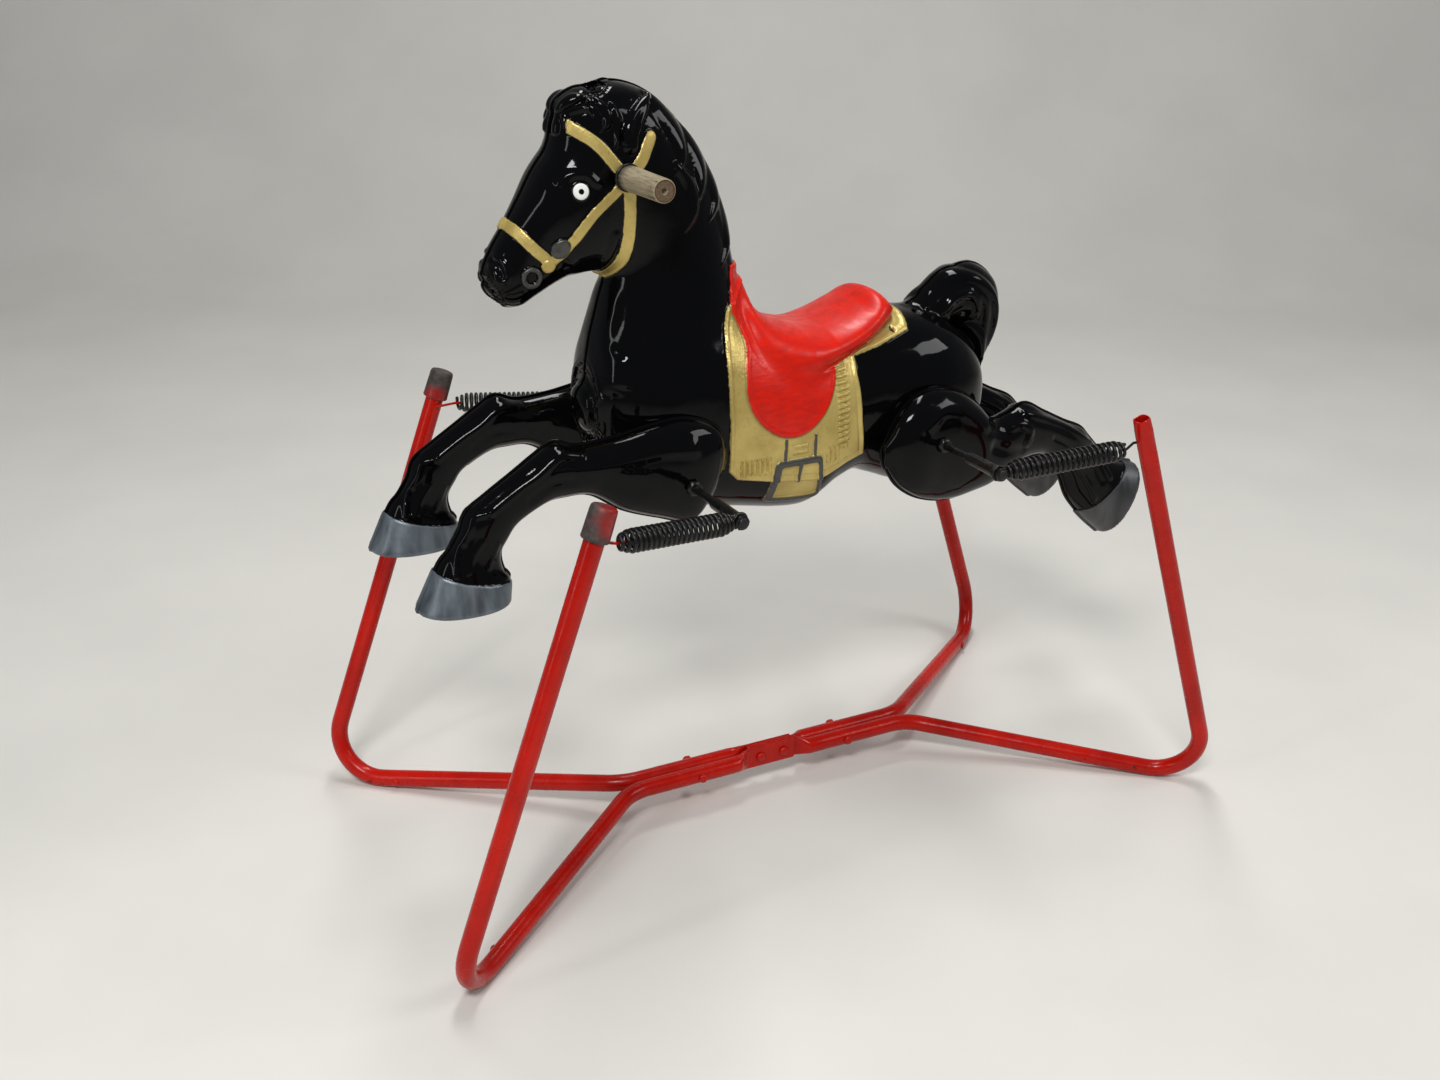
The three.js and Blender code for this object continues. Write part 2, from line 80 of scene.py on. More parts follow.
# ------------------------------------------------------------------ meshes
def add_object(name, vertices, faces):
    mesh = bpy.data.meshes.new(name)
    mesh.from_pydata([tuple(v) for v in vertices], [], [tuple(f) for f in faces])
    piece = bpy.data.objects.new(name, mesh)
    bpy.context.scene.collection.objects.link(piece)
    return piece


def shade(piece, angle):
    """Smooth, but sharp along edges that bend by more than angle degrees."""
    piece.data.shade_smooth()
    piece.data.set_sharp_from_angle(angle=math.radians(angle))


def curve(rows):
    """A table's rows, or a line's points, with more between them on a smooth curve."""
    p = np.array(rows, float)
    p = np.vstack([2 * p[0] - p[1], p, 2 * p[-1] - p[-2]])
    t = np.linspace(0, 1, CURVE_STEPS, endpoint=False)[:, None]
    spans = []
    for a, b, c, d in zip(p, p[1:], p[2:], p[3:]):
        cubic = (3 * b - a - 3 * c + d) * t ** 3 + (2 * a - 5 * b + 4 * c - d) * t ** 2
        spans.append(0.5 * (cubic + (c - a) * t + 2 * b))
    return np.vstack(spans + [p[-2:-1]])


# ------------------------------------------------------------------ fields: smooth pressed forms
# A section is (top x, top z, low x, low z, half width) in millimetres, as the CAD has it.
TRUNK = [
    (-221, 503, -219, 462, 24), (-213, 532, -211, 436, 45), (-192, 554, -190, 408, 62),
    (-160, 566, -160, 386, 73), (-115, 564, -115, 370, 77), (-60, 554, -60, 359, 78),
    (-15, 539, -15, 351, 77), (15, 533, 15, 352, 76), (45, 534, 45, 370, 74), (72, 539, 72, 379, 73),
    (100, 545, 100, 371, 74), (135, 548, 135, 358, 76), (170, 543, 170, 358, 74),
    (202, 527, 200, 370, 65), (228, 500, 224, 396, 48), (245, 466, 241, 426, 22)]
NECK = [
    (-24, 520, -200, 440, 66), (-48, 552, -208, 470, 66), (-60, 590, -213, 508, 60),
    (-67, 631, -213, 548, 53), (-75, 666, -204, 583, 48), (-87, 698, -197, 610, 46),
    (-104, 729, -208, 634, 45), (-129, 759, -232, 682, 43), (-156, 780, -248, 722, 40),
    (-187, 789, -248, 748, 34), (-210, 782, -244, 764, 21)]
HEAD = [
    (-196, 778, -186, 626, 40), (-224, 762, -202, 618, 44), (-246, 739, -217, 620, 45),
    (-265, 716, -234, 617, 42), (-279, 692, -251, 610, 36), (-293, 669, -269, 600, 30),
    (-307, 648, -285, 592, 28), (-316, 630, -300, 594, 24), (-316, 616, -307, 603, 12)]
TAIL = [
    (152, 547, 150, 520, 16), (173, 560, 176, 520, 24), (196, 577, 192, 522, 27),
    (230, 587, 206, 524, 29), (261, 568, 216, 518, 28), (270, 534, 222, 498, 25),
    (261, 503, 226, 474, 22), (247, 472, 228, 454, 16), (240, 448, 232, 438, 8)]
SEAT = [
    (-67, 602, -74, 560, 12), (-58, 586, -65, 522, 30), (-49, 566, -52, 508, 48),
    (-28, 550, -26, 500, 60), (2, 542, 2, 500, 66), (28, 544, 27, 505, 66), (54, 551, 52, 512, 62),
    (78, 562, 76, 521, 57), (97, 573, 97, 532, 49), (110, 566, 111, 541, 37), (119, 556, 119, 548, 18)]
FRONT_LEG = [
    (-107, 452, -111, 424, 8), (-117, 474, -127, 398, 19), (-150, 486, -145, 381, 25),
    (-190, 483, -176, 390, 25), (-226, 477, -216, 405, 23), (-262, 475, -249, 426, 21),
    (-284, 482, -276, 428, 20), (-303, 472, -292, 426, 19), (-326, 457, -311, 417, 17),
    (-351, 441, -324, 408, 16), (-371, 427, -332, 397, 17), (-379, 408, -340, 383, 17),
    (-389, 393, -338, 367, 18), (-400, 380, -332, 357, 22), (-420, 339, -334, 338, 31)]
REAR_LEG = [
    (78, 426, 82, 400, 8), (92, 452, 96, 380, 19), (112, 471, 118, 364, 25),
    (140, 478, 145, 354, 25), (170, 471, 170, 351, 25), (195, 455, 195, 354, 25),
    (218, 433, 220, 359, 23), (240, 435, 241, 371, 22), (266, 443, 262, 379, 21),
    (293, 430, 286, 382, 20), (325, 414, 304, 375, 19), (352, 402, 320, 360, 18),
    (367, 388, 331, 343, 17), (386, 370, 343, 320, 18), (413, 352, 368, 293, 23),
    (440, 344, 398, 268, 31)]
LEG_PLANE = 80                  # seam plane of a leg
REAR_TAPER, REAR_AXLE = 0.064, 138
MAP_PITCH = 1.5                 # spacing of the flat maps that forms are read from
PROBE = 0.8                     # how far to each side a field is read for its slope
FAR = 400.0                     # more than any real distance


class Form:
    """One loft as flat maps over the side view, so that its distance field is quick to read."""

    def __init__(self, table, low, high, square=2.0, domes=(0.45, 0.45)):
        self.low, self.square = np.array(low, float), square
        xs = np.arange(low[0], high[0], MAP_PITCH)
        zs = np.arange(low[1], high[1], MAP_PITCH)
        x, z = np.meshgrid(xs, zs, indexing="ij")
        rows = curve(table)
        mid = (rows[:, 0:2] + rows[:, 2:4]) / 2
        half = (rows[:, 0:2] - rows[:, 2:4]) / 2
        size = np.hypot(half[:, 0], half[:, 1])
        wide = np.maximum(rows[:, 4], 0.8)
        unit = half / size[:, None]
        heading = mid[1] - mid[0]
        turn = np.sign(heading[0] * unit[0, 1] - heading[1] * unit[0, 0])
        past = [turn * ((x - c[0]) * u[1] - (z - c[1]) * u[0]) for c, u in zip(mid, unit)]
        along = [(x - c[0]) * u[0] + (z - c[1]) * u[1] for c, u in zip(mid, unit)]
        first = past[0] < 0
        best = np.full(x.shape, FAR)
        u = np.where(first, along[0] / size[0], along[-1] / size[-1])
        h = np.where(first, size[0], size[-1])
        w = np.where(first, wide[0], wide[-1])
        over = np.where(first, -past[0], past[-1])
        place = np.where(first, 0.0, len(table) - 1.0)
        for i in range(len(rows) - 1):
            a, b = past[i], past[i + 1]
            t = a / np.where(np.abs(a - b) < 1e-9, 1e-9, a - b)
            size_t = size[i] + t * (size[i + 1] - size[i])
            u_t = (along[i] + t * (along[i + 1] - along[i])) / size_t
            take = (a >= 0) & (b <= 0) & (np.abs(u_t) < best)
            best = np.where(take, np.abs(u_t), best)
            u, h = np.where(take, u_t, u), np.where(take, size_t, h)
            w = np.where(take, wide[i] + t * (wide[i + 1] - wide[i]), w)
            over = np.where(take, 0, over)
            place = np.where(take, (i + t) / CURVE_STEPS, place)
        dome = np.where(place < len(table) / 2, domes[0], domes[1])
        bulge = np.maximum(dome * np.minimum(h, w), 1.0)
        self.maps = np.stack([u, h, w, over, bulge, place], axis=-1)

    def read(self, x, z):
        """The maps at any points, between the grid's own."""
        gx = np.clip((x - self.low[0]) / MAP_PITCH, 0, self.maps.shape[0] - 1.001)
        gz = np.clip((z - self.low[1]) / MAP_PITCH, 0, self.maps.shape[1] - 1.001)
        i, k = gx.astype(int), gz.astype(int)
        a, b = (gx - i)[..., None], (gz - k)[..., None]
        m = self.maps
        near = m[i, k] * (1 - a) + m[i + 1, k] * a
        far = m[i, k + 1] * (1 - a) + m[i + 1, k + 1] * a
        return np.moveaxis(near * (1 - b) + far * b, -1, 0)

    def distance(self, x, y, z):
        u, h, w, over, bulge, _ = self.read(x, z)
        n = self.square
        au, av, ao = np.abs(u) + 1e-6, np.abs(y) / w + 1e-6, over / bulge
        r = (au ** n + av ** n + ao ** n) ** (1 / n)
        slope = np.sqrt((au ** (n - 1) / h) ** 2 + (av ** (n - 1) / w) ** 2
                        + (ao ** (n - 1) / bulge) ** 2) / r ** (n - 1)
        return (r - 1) / np.maximum(slope, 1e-4)


def join(a, b, k):
    """Two fields as one, with a fillet of about k."""
    h = np.maximum(k - np.abs(a - b), 0) / k
    return np.minimum(a, b) - h * h * k / 4


def with_bores(field, bores):
    """A field with round holes through it: bores are their (x, z, radius)."""
    def bored(x, y, z):
        d = field(x, y, z)
        for bx, bz, r in bores:
            d = np.maximum(d, r - np.hypot(x - bx, z - bz))
        return d
    return bored


BODY_LOW, BODY_HIGH = (-345, 335), (305, 815)
NECK_FILLET, HEAD_FILLET, TAIL_FILLET = 26, 9, 7
SEAT_FILLET, POMMEL_FILLET = 5, 24          # behind, and in front where the seat runs into the neck
POMMEL_X = (-10, 60)
trunk = Form(TRUNK, BODY_LOW, BODY_HIGH, square=2.4)
neck = Form(NECK, BODY_LOW, BODY_HIGH)
head = Form(HEAD, BODY_LOW, BODY_HIGH, square=2.3)
tail = Form(TAIL, BODY_LOW, BODY_HIGH)
seat = Form(SEAT, BODY_LOW, BODY_HIGH, square=2.2)


def body_distance(x, y, z):
    form = join(trunk.distance(x, y, z), neck.distance(x, y, z), NECK_FILLET)
    form = join(form, head.distance(x, y, z), HEAD_FILLET)
    form = join(form, tail.distance(x, y, z), TAIL_FILLET)
    front, rear = POMMEL_X
    share = np.clip((rear - x) / (rear - front), 0, 1)
    return join(form, seat.distance(x, y, z), SEAT_FILLET + (POMMEL_FILLET - SEAT_FILLET) * share)


def gradient(field, points):
    """Unit vectors out of a field at each point."""
    shifts = np.eye(3) * PROBE
    rise = [field(*(points + s).T) - field(*(points - s).T) for s in shifts]
    g = np.stack(rise, axis=1)
    return g / np.maximum(np.linalg.norm(g, axis=1, keepdims=True), 1e-9)


def settle(field, points, rounds):
    """Moves points onto the field's zero surface."""
    for _ in range(rounds):
        g = gradient(field, points)
        d = np.clip(field(*points.T), -3, 3)
        points = points - g * d[:, None]
    return points


def surface(field, low, high, pitch):
    """Vertices and quads of the zero surface of a field, between two corners."""
    axes = [np.arange(a, b + pitch, pitch) for a, b in zip(low, high)]
    value = field(*np.meshgrid(*axes, indexing="ij", sparse=True))
    cells = np.array(value.shape) - 1
    strides = np.array([cells[1] * cells[2], cells[2], 1])
    total, count = np.zeros((cells.prod(), 3)), np.zeros(cells.prod())
    quads = []
    for axis in range(3):
        b, c = [k for k in range(3) if k != axis]
        v = np.moveaxis(value, axis, 0)
        crossing = (v[:-1] < 0) != (v[1:] < 0)
        found = np.argwhere(crossing)
        share = v[:-1][crossing] / (v[:-1][crossing] - v[1:][crossing])
        place = np.empty(found.shape)
        index = np.empty(found.shape, int)
        for moved, own in enumerate((axis, b, c)):
            index[:, own] = found[:, moved]
            place[:, own] = found[:, moved]
        place[:, axis] += share
        inner = (index[:, b] > 0) & (index[:, c] > 0)
        inner &= (index[:, b] < cells[b]) & (index[:, c] < cells[c])
        index, place = index[inner], place[inner]
        around = []
        for db, dc in ((-1, -1), (0, -1), (0, 0), (-1, 0)):
            cell = index.copy()
            cell[:, b] += db
            cell[:, c] += dc
            flat = cell @ strides
            around.append(flat)
            for k in range(3):
                total[:, k] += np.bincount(flat, place[:, k], minlength=len(total))
            count += np.bincount(flat, minlength=len(total))
        quads.append(np.stack(around, axis=1))
    quads = np.vstack(quads)
    used = np.flatnonzero(count)
    number = np.full(len(count), -1)
    number[used] = np.arange(len(used))
    points = total[used] / count[used, None] * pitch + np.array([a[0] for a in axes])
    return points, number[quads]


def outward(points, quads, field):
    """The quads, each turned to face out of the field."""
    p = points[quads]
    normal = np.cross(p[:, 2] - p[:, 0], p[:, 3] - p[:, 1])
    away = gradient(field, p.mean(axis=1))
    flip = (normal * away).sum(axis=1) < 0
    quads = quads.copy()
    quads[flip] = quads[flip][:, ::-1]
    return quads


def relax(points, quads, rounds):
    """Evens out the spacing of the points."""
    ends = np.vstack([quads[:, [k, (k + 1) % 4]] for k in range(4)])
    n = len(points)
    degree = np.bincount(ends.ravel(), minlength=n)[:, None]
    for _ in range(rounds):
        total = np.zeros_like(points)
        for k in range(3):
            total[:, k] = (np.bincount(ends[:, 0], points[ends[:, 1], k], minlength=n)
                           + np.bincount(ends[:, 1], points[ends[:, 0], k], minlength=n))
        points = points + 0.5 * (total / np.maximum(degree, 1) - points)
    return points


# ------------------------------------------------------------------ lines and outlines in the side view
def line_distance(x, z, line):
    """Distance from each point to a bent line, and how far along the line, from 0 to 1."""
    line = np.array(line, float)
    best, at = np.full(x.shape, FAR), np.zeros(x.shape)
    lengths = np.hypot(*np.diff(line, axis=0).T)
    gone = 0.0
    for (ax, az), (bx, bz), length in zip(line, line[1:], lengths):
        t = np.clip(((x - ax) * (bx - ax) + (z - az) * (bz - az)) / length ** 2, 0, 1)
        d = np.hypot(x - ax - t * (bx - ax), z - az - t * (bz - az))
        at = np.where(d < best, (gone + t * length) / lengths.sum(), at)
        best = np.minimum(best, d)
        gone += length
    return best, at


def outline_distance(x, z, corners):
    """Distance to a closed outline, negative inside it."""
    p = np.array(corners, float)
    d, _ = line_distance(x, z, np.vstack([p, p[:1]]))
    inside = np.zeros(x.shape, bool)
    for (ax, az), (bx, bz) in zip(p, np.roll(p, -1, axis=0)):
        if az != bz:
            inside ^= ((az > z) != (bz > z)) & (x < (bx - ax) * (z - az) / (bz - az) + ax)
    return np.where(inside, -d, d)


def step(d, edge=1.2):
    """1 well inside a distance of 0, 0 well outside, with a soft edge."""
    t = np.clip(0.5 - d / edge, 0, 1)
    return t * t * (3 - 2 * t)


def ridge(d, wide):
    """1 where d is 0, and softly down to 0 where it is wide or more."""
    t = np.clip(1 - d / wide, 0, 1)
    return t * t * (3 - 2 * t)


def crease(x, z, points, wide):
    """A ridge along a smooth line, to raise or to press in."""
    return ridge(line_distance(x, z, curve(points))[0], wide)


# ------------------------------------------------------------------ what is pressed into the body
STRAPS = {
    "brow": ([(-249, 764), (-237, 753.5), (-218, 740.5), (-200, 720), (-191, 710)], 5.3),
    "crown": ([(-191, 708), (-176, 722), (-170, 732), (-164, 743)], 5.6),
    "cheek": ([(-193, 706), (-200.5, 696.5), (-224, 678), (-243.5, 655), (-263, 635)], 4.8),
    "nose": ([(-316, 680), (-297, 671), (-278.5, 651), (-264, 637)], 5.0),
    "throat": ([(-188, 706), (-187, 692), (-186.5, 656), (-190, 633), (-200, 617), (-213, 600)], 5.8)}
CHEEK_BUCKLE, BIT_KNOT, BIT_RING, EYE = (-254, 649), (-264.5, 633.5), (-279.5, 623.0), (-235, 699.7)
KNOT_R, EYE_R, PUPIL_R, RING_R = 6.5, 7.2, 2.5, 7.8
BROW_END = 24                   # the browband ends this far from the middle
FLAP = [(-77, 616), (-80, 597), (-84, 577), (-79, 563), (-74, 543), (-79, 521), (-80, 495), (-71, 474),
        (-53, 457), (-31, 449.5), (-9, 453), (9, 467), (21, 486), (27, 503), (24, 517), (10, 529),
        (14, 545), (-20, 640), (-48, 640), (-52, 616)]
BLANKET = [(-89, 577), (-95, 561), (-98, 537), (-100, 498), (-99, 456), (-97, 424), (-86, 414),
           (-48, 408), (10, 403), (40, 410), (64, 415), (57, 452), (53, 500), (55, 516), (80, 521),
           (103, 528), (124, 534), (131, 546), (143, 560), (150, 640), (-50, 640), (-60, 600), (-80, 585)]
GIRTH_X, GIRTH_HALF = (-36, -1.5), 1.8      # the strap's two edges
BUCKLE = (-46.5, 7.5, 380, 428.5)           # x0, x1, low and high, measured down round the belly
BUCKLE_SPREAD = (1.5, 10)                   # how much wider its low edge is, in front and behind
BUCKLE_BARS = (8.5, 5, 5.5, 6.5)            # widths of its front, rear, lower and upper bars
KEEPERS = (434, 439.5)                      # heights of the two loops that hold the strap's end
SLOT = (107, 535)
POMMEL_CREASE = [(-82, 590), (-80, 566), (-73, 543), (-62, 524), (-46, 512)]
EYEBROW = [(-252, 707), (-243, 714), (-229, 714), (-219, 706)]
NOSTRIL = [(-313, 640), (-308, 634), (-306, 626)]
MOUTH = [(-318, 611), (-306, 612), (-294, 617), (-284, 622)]
CHEEK_LINE = [(-248, 640), (-236, 625), (-220, 622), (-204, 634), (-199, 655)]
THROAT_FOLDS = [[(-194, 606), (-198, 580), (-205, 550), (-209, 505)],
                [(-182, 596), (-187, 572), (-193, 556), (-197, 538), (-200, 512)]]
TAIL_CURLS = [(curve(line), wide) for line, wide in (
    ([(166, 546), (178, 565), (198, 577), (224, 573), (247, 554), (256, 526), (252, 496)], 8),
    ([(184, 540), (194, 554), (209, 559), (224, 551), (228, 536), (218, 528)], 6.5),
    ([(208, 520), (224, 520), (238, 504), (240, 480), (236, 462)], 7))]
MANE_RISE, FORELOCK_RISE, CURL_RISE = 3.8, 4.2, 3.6
BLANKET_RISE, FLAP_RISE, TICK_RISE = 2.0, 2.2, 2.2
TRUNK_MIDDLE, TRUNK_HALF, TRUNK_DEEP, TURN_LENGTH = 460, 78, 96, 88


def girth_height(y, z):
    """Height, but measured round the belly where the body turns under."""
    turn = np.arctan2((TRUNK_MIDDLE - z) / TRUNK_DEEP, np.maximum(np.abs(y), 1e-3) / TRUNK_HALF)
    return np.where(z < TRUNK_MIDDLE, TRUNK_MIDDLE - TURN_LENGTH * turn, z)


MANE = [(curve(lock), wide) for lock, wide in (
    ([(-160, 786), (-146, 766), (-133, 745), (-130, 722), (-141, 708)], 13),
    ([(-134, 774), (-117, 748), (-107, 716), (-113, 690), (-127, 676)], 13),
    ([(-104, 738), (-92, 708), (-90, 680), (-103, 662)], 12),
    ([(-138, 716), (-124, 696), (-122, 674), (-132, 656)], 9),
    ([(-84, 694), (-76, 664), (-78, 636), (-90, 618)], 10))]
CREST = curve([(-234, 786), (-200, 796), (-160, 790), (-127, 768), (-99, 732), (-80, 692), (-68, 655),
               (-60, 625)])
FORELOCK = [
    (curve([(-247, 748), (-246, 762), (-238, 773), (-226, 777), (-215, 773), (-211, 763)]), 6.0),
    (curve([(-240, 754), (-238, 764), (-230, 768), (-222, 768), (-218, 762)]), 3.6),
    (curve([(-214, 777), (-206, 766), (-207, 756), (-214, 750)]), 6.5),
    (curve([(-200, 772), (-197, 756), (-198, 742), (-203, 733)]), 6.5)]
EAR = curve([(-185, 736), (-184, 748), (-175, 762), (-159, 776)])
EAR_HALF = 9.5


def lock_relief(x, z, line, wide, high):
    """A raised, rounded lock of hair that narrows to its two ends."""
    d, t = line_distance(x, z, line)
    room = wide * np.clip(np.sin(math.pi * (0.18 + 0.78 * t)), 0.05, 1)
    share = np.clip(d / room, 0, 1)
    return high * (1 - share ** 2) ** 1.5 * np.clip(room / wide * 1.4, 0, 1)


def heap(reliefs):
    """Several reliefs as one: about the highest of them, with soft valleys where they meet."""
    return sum(r ** 3 for r in reliefs) ** (1 / 3)


def rounded_box(x, z, box, corner):
    """Distance to a box (x0, x1, z0, z1) with round corners, negative inside it."""
    x0, x1, z0, z1 = box
    dx = np.abs(x - (x0 + x1) / 2) - (x1 - x0) / 2 + corner
    dz = np.abs(z - (z0 + z1) / 2) - (z1 - z0) / 2 + corner
    return np.hypot(np.maximum(dx, 0), np.maximum(dz, 0)) + np.minimum(np.maximum(dx, dz), 0) - corner


def masks(x, y, z):
    """Signed distances in millimetres, negative inside: what is painted in each colour."""
    down = girth_height(y, z)
    others = np.minimum(trunk.distance(x, y, z), neck.distance(x, y, z))
    on_seat = seat.distance(x, y, z) - others
    seat_part = np.where(x > -30, on_seat, 3.0)
    saddle = np.minimum(outline_distance(x, down, curve(FLAP)), seat_part)
    blanket = outline_distance(x, down, BLANKET)
    strap = np.full(x.shape, FAR)
    for line, half in STRAPS.values():
        strap = np.minimum(strap, line_distance(x, z, curve(line))[0] - half)
    strap = np.where(z > 738, np.maximum(strap, BROW_END - np.abs(y)), strap)
    knot = np.hypot(x - BIT_KNOT[0], z - BIT_KNOT[1]) - KNOT_R
    strap = np.minimum(strap, knot)
    head_only = np.where(z > 585, strap, FAR)
    ring = np.abs(np.hypot(x - BIT_RING[0], z - BIT_RING[1]) - RING_R) - 2.1
    dx, dz = x - CHEEK_BUCKLE[0], z - CHEEK_BUCKLE[1]
    cheek = np.hypot((dx + dz) * 0.62, (dz - dx) * 0.8) - 8.6
    x0, x1, low, high = BUCKLE
    lower = np.clip((high - down) / (high - low), 0, 1)
    x0, x1 = x0 - BUCKLE_SPREAD[0] * lower, x1 + BUCKLE_SPREAD[1] * lower
    outer = rounded_box(x, down, (x0, x1, low, high), 6)
    front, rear, below, above = BUCKLE_BARS
    inner = rounded_box(x, down, (x0 + front, x1 - rear, low + below, high - above), 3)
    frame_part = np.maximum(outer, -inner)
    tongue = np.maximum(np.abs(x + 17) - 1.0 - 0.08 * (down - high + 25), np.abs(down - high + 13) - 11)
    edges = np.minimum(np.abs(x - GIRTH_X[0]), np.abs(x - GIRTH_X[1])) - GIRTH_HALF
    edges = np.maximum(edges, np.maximum(high - down, down - 449))
    eye = np.hypot(x - EYE[0], z - EYE[1])
    return {
        "saddle": saddle, "gold": np.minimum(np.minimum(blanket, outer), np.maximum(head_only, -ring)),
        "metal": np.minimum(np.minimum(frame_part, tongue), np.minimum(ring, cheek)),
        "girth": edges, "eye": eye - EYE_R, "pupil": eye - PUPIL_R,
        "slot": np.hypot((x - SLOT[0]) / 1.7, (z - SLOT[1]) / 3.4) * 2 - 2, "straps": head_only,
        "knot": knot, "ring": ring, "cheek": cheek, "frame": frame_part, "tongue": tongue,
        "blanket": blanket, "seat": np.maximum(on_seat, -60 - x)}


TICK_PITCH, TICK_ROW_TOP = 5.7, 434         # the upright bars are below this height


def tick_zone(x, down):
    """1 in the three strips of short raised bars along the blanket's rear and lower edges."""
    column = step(np.abs(x - 33) - 6.5, 2) * step(np.abs(down - 477) - 47, 2)
    row = step(np.abs(down - 425.5) - 8, 2) * step(np.abs(x + 68) - 18, 2)
    corner = step(np.abs(down - 426) - 7, 2) * step(np.abs(x - 22) - 8, 2)
    return np.maximum(column, np.maximum(row, corner))


def ticks(x, down, paint):
    """The raised bars themselves: level ones in the column, upright ones in the rows below it."""
    wave = step(-0.2 - np.cos(2 * math.pi * (down - 0.12 * x) / TICK_PITCH), 1.2)
    row_wave = step(-0.2 - np.cos(2 * math.pi * (x + 0.15 * down) / TICK_PITCH), 1.2)
    high = np.where(down > TICK_ROW_TOP, wave, row_wave)
    return high * tick_zone(x, down) * step(-1 - paint["saddle"], 1.5)


def harness_relief(paint):
    up = step(paint["straps"], 1.6) * (1.5 + 0.3 * ridge(np.abs(paint["straps"] + 5), 5))
    up = np.maximum(up, step(paint["knot"], 3.5) * 3.4)
    up = np.maximum(up, 3.4 * np.sqrt(np.clip(1 - ((paint["ring"] + 2.0) / 2.6) ** 2, 0, 1)))
    return np.maximum(up, step(paint["cheek"], 3) * 2.6)


def hair_relief(x, y, z):
    """Mane and forelock, which fade out towards the seam, the crest, and the ear laid back on them."""
    crest, _ = line_distance(x, z, CREST)
    clear = step(9 - np.abs(y), 12)
    hair = clear * heap([lock_relief(x, z, lock, wide, MANE_RISE) for lock, wide in MANE]
                        + [lock_relief(x, z, lock, wide, FORELOCK_RISE) for lock, wide in FORELOCK])
    hair = heap([hair, 1.4 * step(crest - 18, 8)])
    d, t = line_distance(x, z, EAR)
    leaf = EAR_HALF * np.sqrt(np.clip(np.sin(math.pi * (0.2 + 0.8 * t)), 0.001, 1))
    hair *= 1 - step(d - leaf - 2.5, 4)
    ear = 6.0 * np.clip(1 - (d / leaf) ** 2, 0, 1) ** 0.8
    ear -= 2.6 * ridge(d, 5.0) * ridge(np.abs(t - 0.4), 0.5)
    return np.maximum(hair, ear)


def face_relief(x, y, z):
    eye = np.hypot(x - EYE[0], z - EYE[1])
    up = 1.6 * step(eye - EYE_R, 2.4) - 0.9 * ridge(np.abs(eye - EYE_R - 2.5), 3.5)
    up += 1.8 * crease(x, z, EYEBROW, 6) + 1.8 * crease(x, z, CHEEK_LINE, 9)
    aside = step(10 - np.abs(y), 8)
    rim, _ = line_distance(x, z, curve(NOSTRIL))
    up += aside * (1.0 * ridge(np.abs(rim - 5.5), 4) - 2.2 * ridge(rim, 4))
    return up - 0.8 * aside * crease(x, z, MOUTH, 3.0)


def neck_relief(x, z):
    """Two upright folds in the throat, with a dimple between them."""
    up = -2.2 * ridge(np.hypot((x + 197) * 1.3, z - 546), 9)
    for fold in THROAT_FOLDS:
        d, t = line_distance(x, z, curve(fold))
        up += 4.2 * np.exp(-(d / 6.5) ** 2) * np.sin(math.pi * np.clip(t + 0.02, 0, 1)) ** 0.5
    return up


def tail_relief(x, y, z):
    u, _, _, _, _, place = tail.read(x, z)
    comb = np.cos(2 * math.pi * (1.6 * u + 0.33 * np.sin(1.5 * place)))
    part = step(tail.distance(x, y, z) - np.minimum(trunk.distance(x, y, z), 6), 4)
    curls = heap([lock_relief(x, z, lock, wide, CURL_RISE) for lock, wide in TAIL_CURLS])
    return part * (curls + 0.8 * comb * np.clip(place / 2, 0, 1) * ridge(np.abs(u), 0.9))


def saddle_relief(x, z, down, paint):
    """Blanket and saddle flap, each a raised sheet with a rim. Neither stands up on the seat itself."""
    off_seat = 1 - step(paint["seat"] - 1, 6) * np.clip((x - 2) / 30, 0, 1)
    up = BLANKET_RISE * step(paint["blanket"], 1.6) + 1.0 * ridge(np.abs(paint["blanket"] + 2.4), 2.4)
    up -= 0.7 * ridge(np.abs(paint["blanket"] + 6.2), 1.6) * (paint["saddle"] > 1)
    up += FLAP_RISE * step(paint["saddle"], 2.0) + 0.5 * ridge(np.abs(paint["saddle"] + 3.0), 3)
    up *= off_seat
    fold, along = line_distance(x, z, curve(POMMEL_CREASE))
    up += 1.6 * ridge(fold, 4) * (1 - along) * step(paint["saddle"], 2)
    up -= 3.5 * ridge(np.maximum(paint["slot"] + 1, 0), 1.6)
    return up + TICK_RISE * (ticks(x, down, paint) - 0.5 * tick_zone(x, down) * (paint["saddle"] > 0))


def girth_relief(x, down, paint):
    """The strap's edges, the buckle's bevelled frame with its tongue, and the two keepers above it."""
    up = 1.7 * step(paint["girth"], 1.6)
    bevel = np.sqrt(np.clip(-paint["frame"] / 2.6, 0, 1))
    up += 1.6 * step(paint["frame"], 1.2) + 1.4 * bevel
    up += 2.4 * step(paint["tongue"], 1.4) * step(-paint["frame"], 1)
    for keeper in KEEPERS:
        up += 1.5 * ridge(np.maximum(np.abs(x + 19) - 8, np.abs(down - keeper)), 2.2)
    return up


def body_relief(x, y, z):
    """How far each point stands out of the plain form."""
    paint, down = masks(x, y, z), girth_height(y, z)
    up = np.maximum(harness_relief(paint), hair_relief(x, y, z))
    up += face_relief(x, y, z) + neck_relief(x, z) + tail_relief(x, y, z)
    return up + saddle_relief(x, z, down, paint) + girth_relief(x, down, paint)


# ------------------------------------------------------------------ pressed half shells
SEAM_GAP = 0.04
FLUSH_X, FLUSH_Z, FLUSH_SHARE = (-62, 135), 540, 0.08      # over the seat it is ground nearly flush


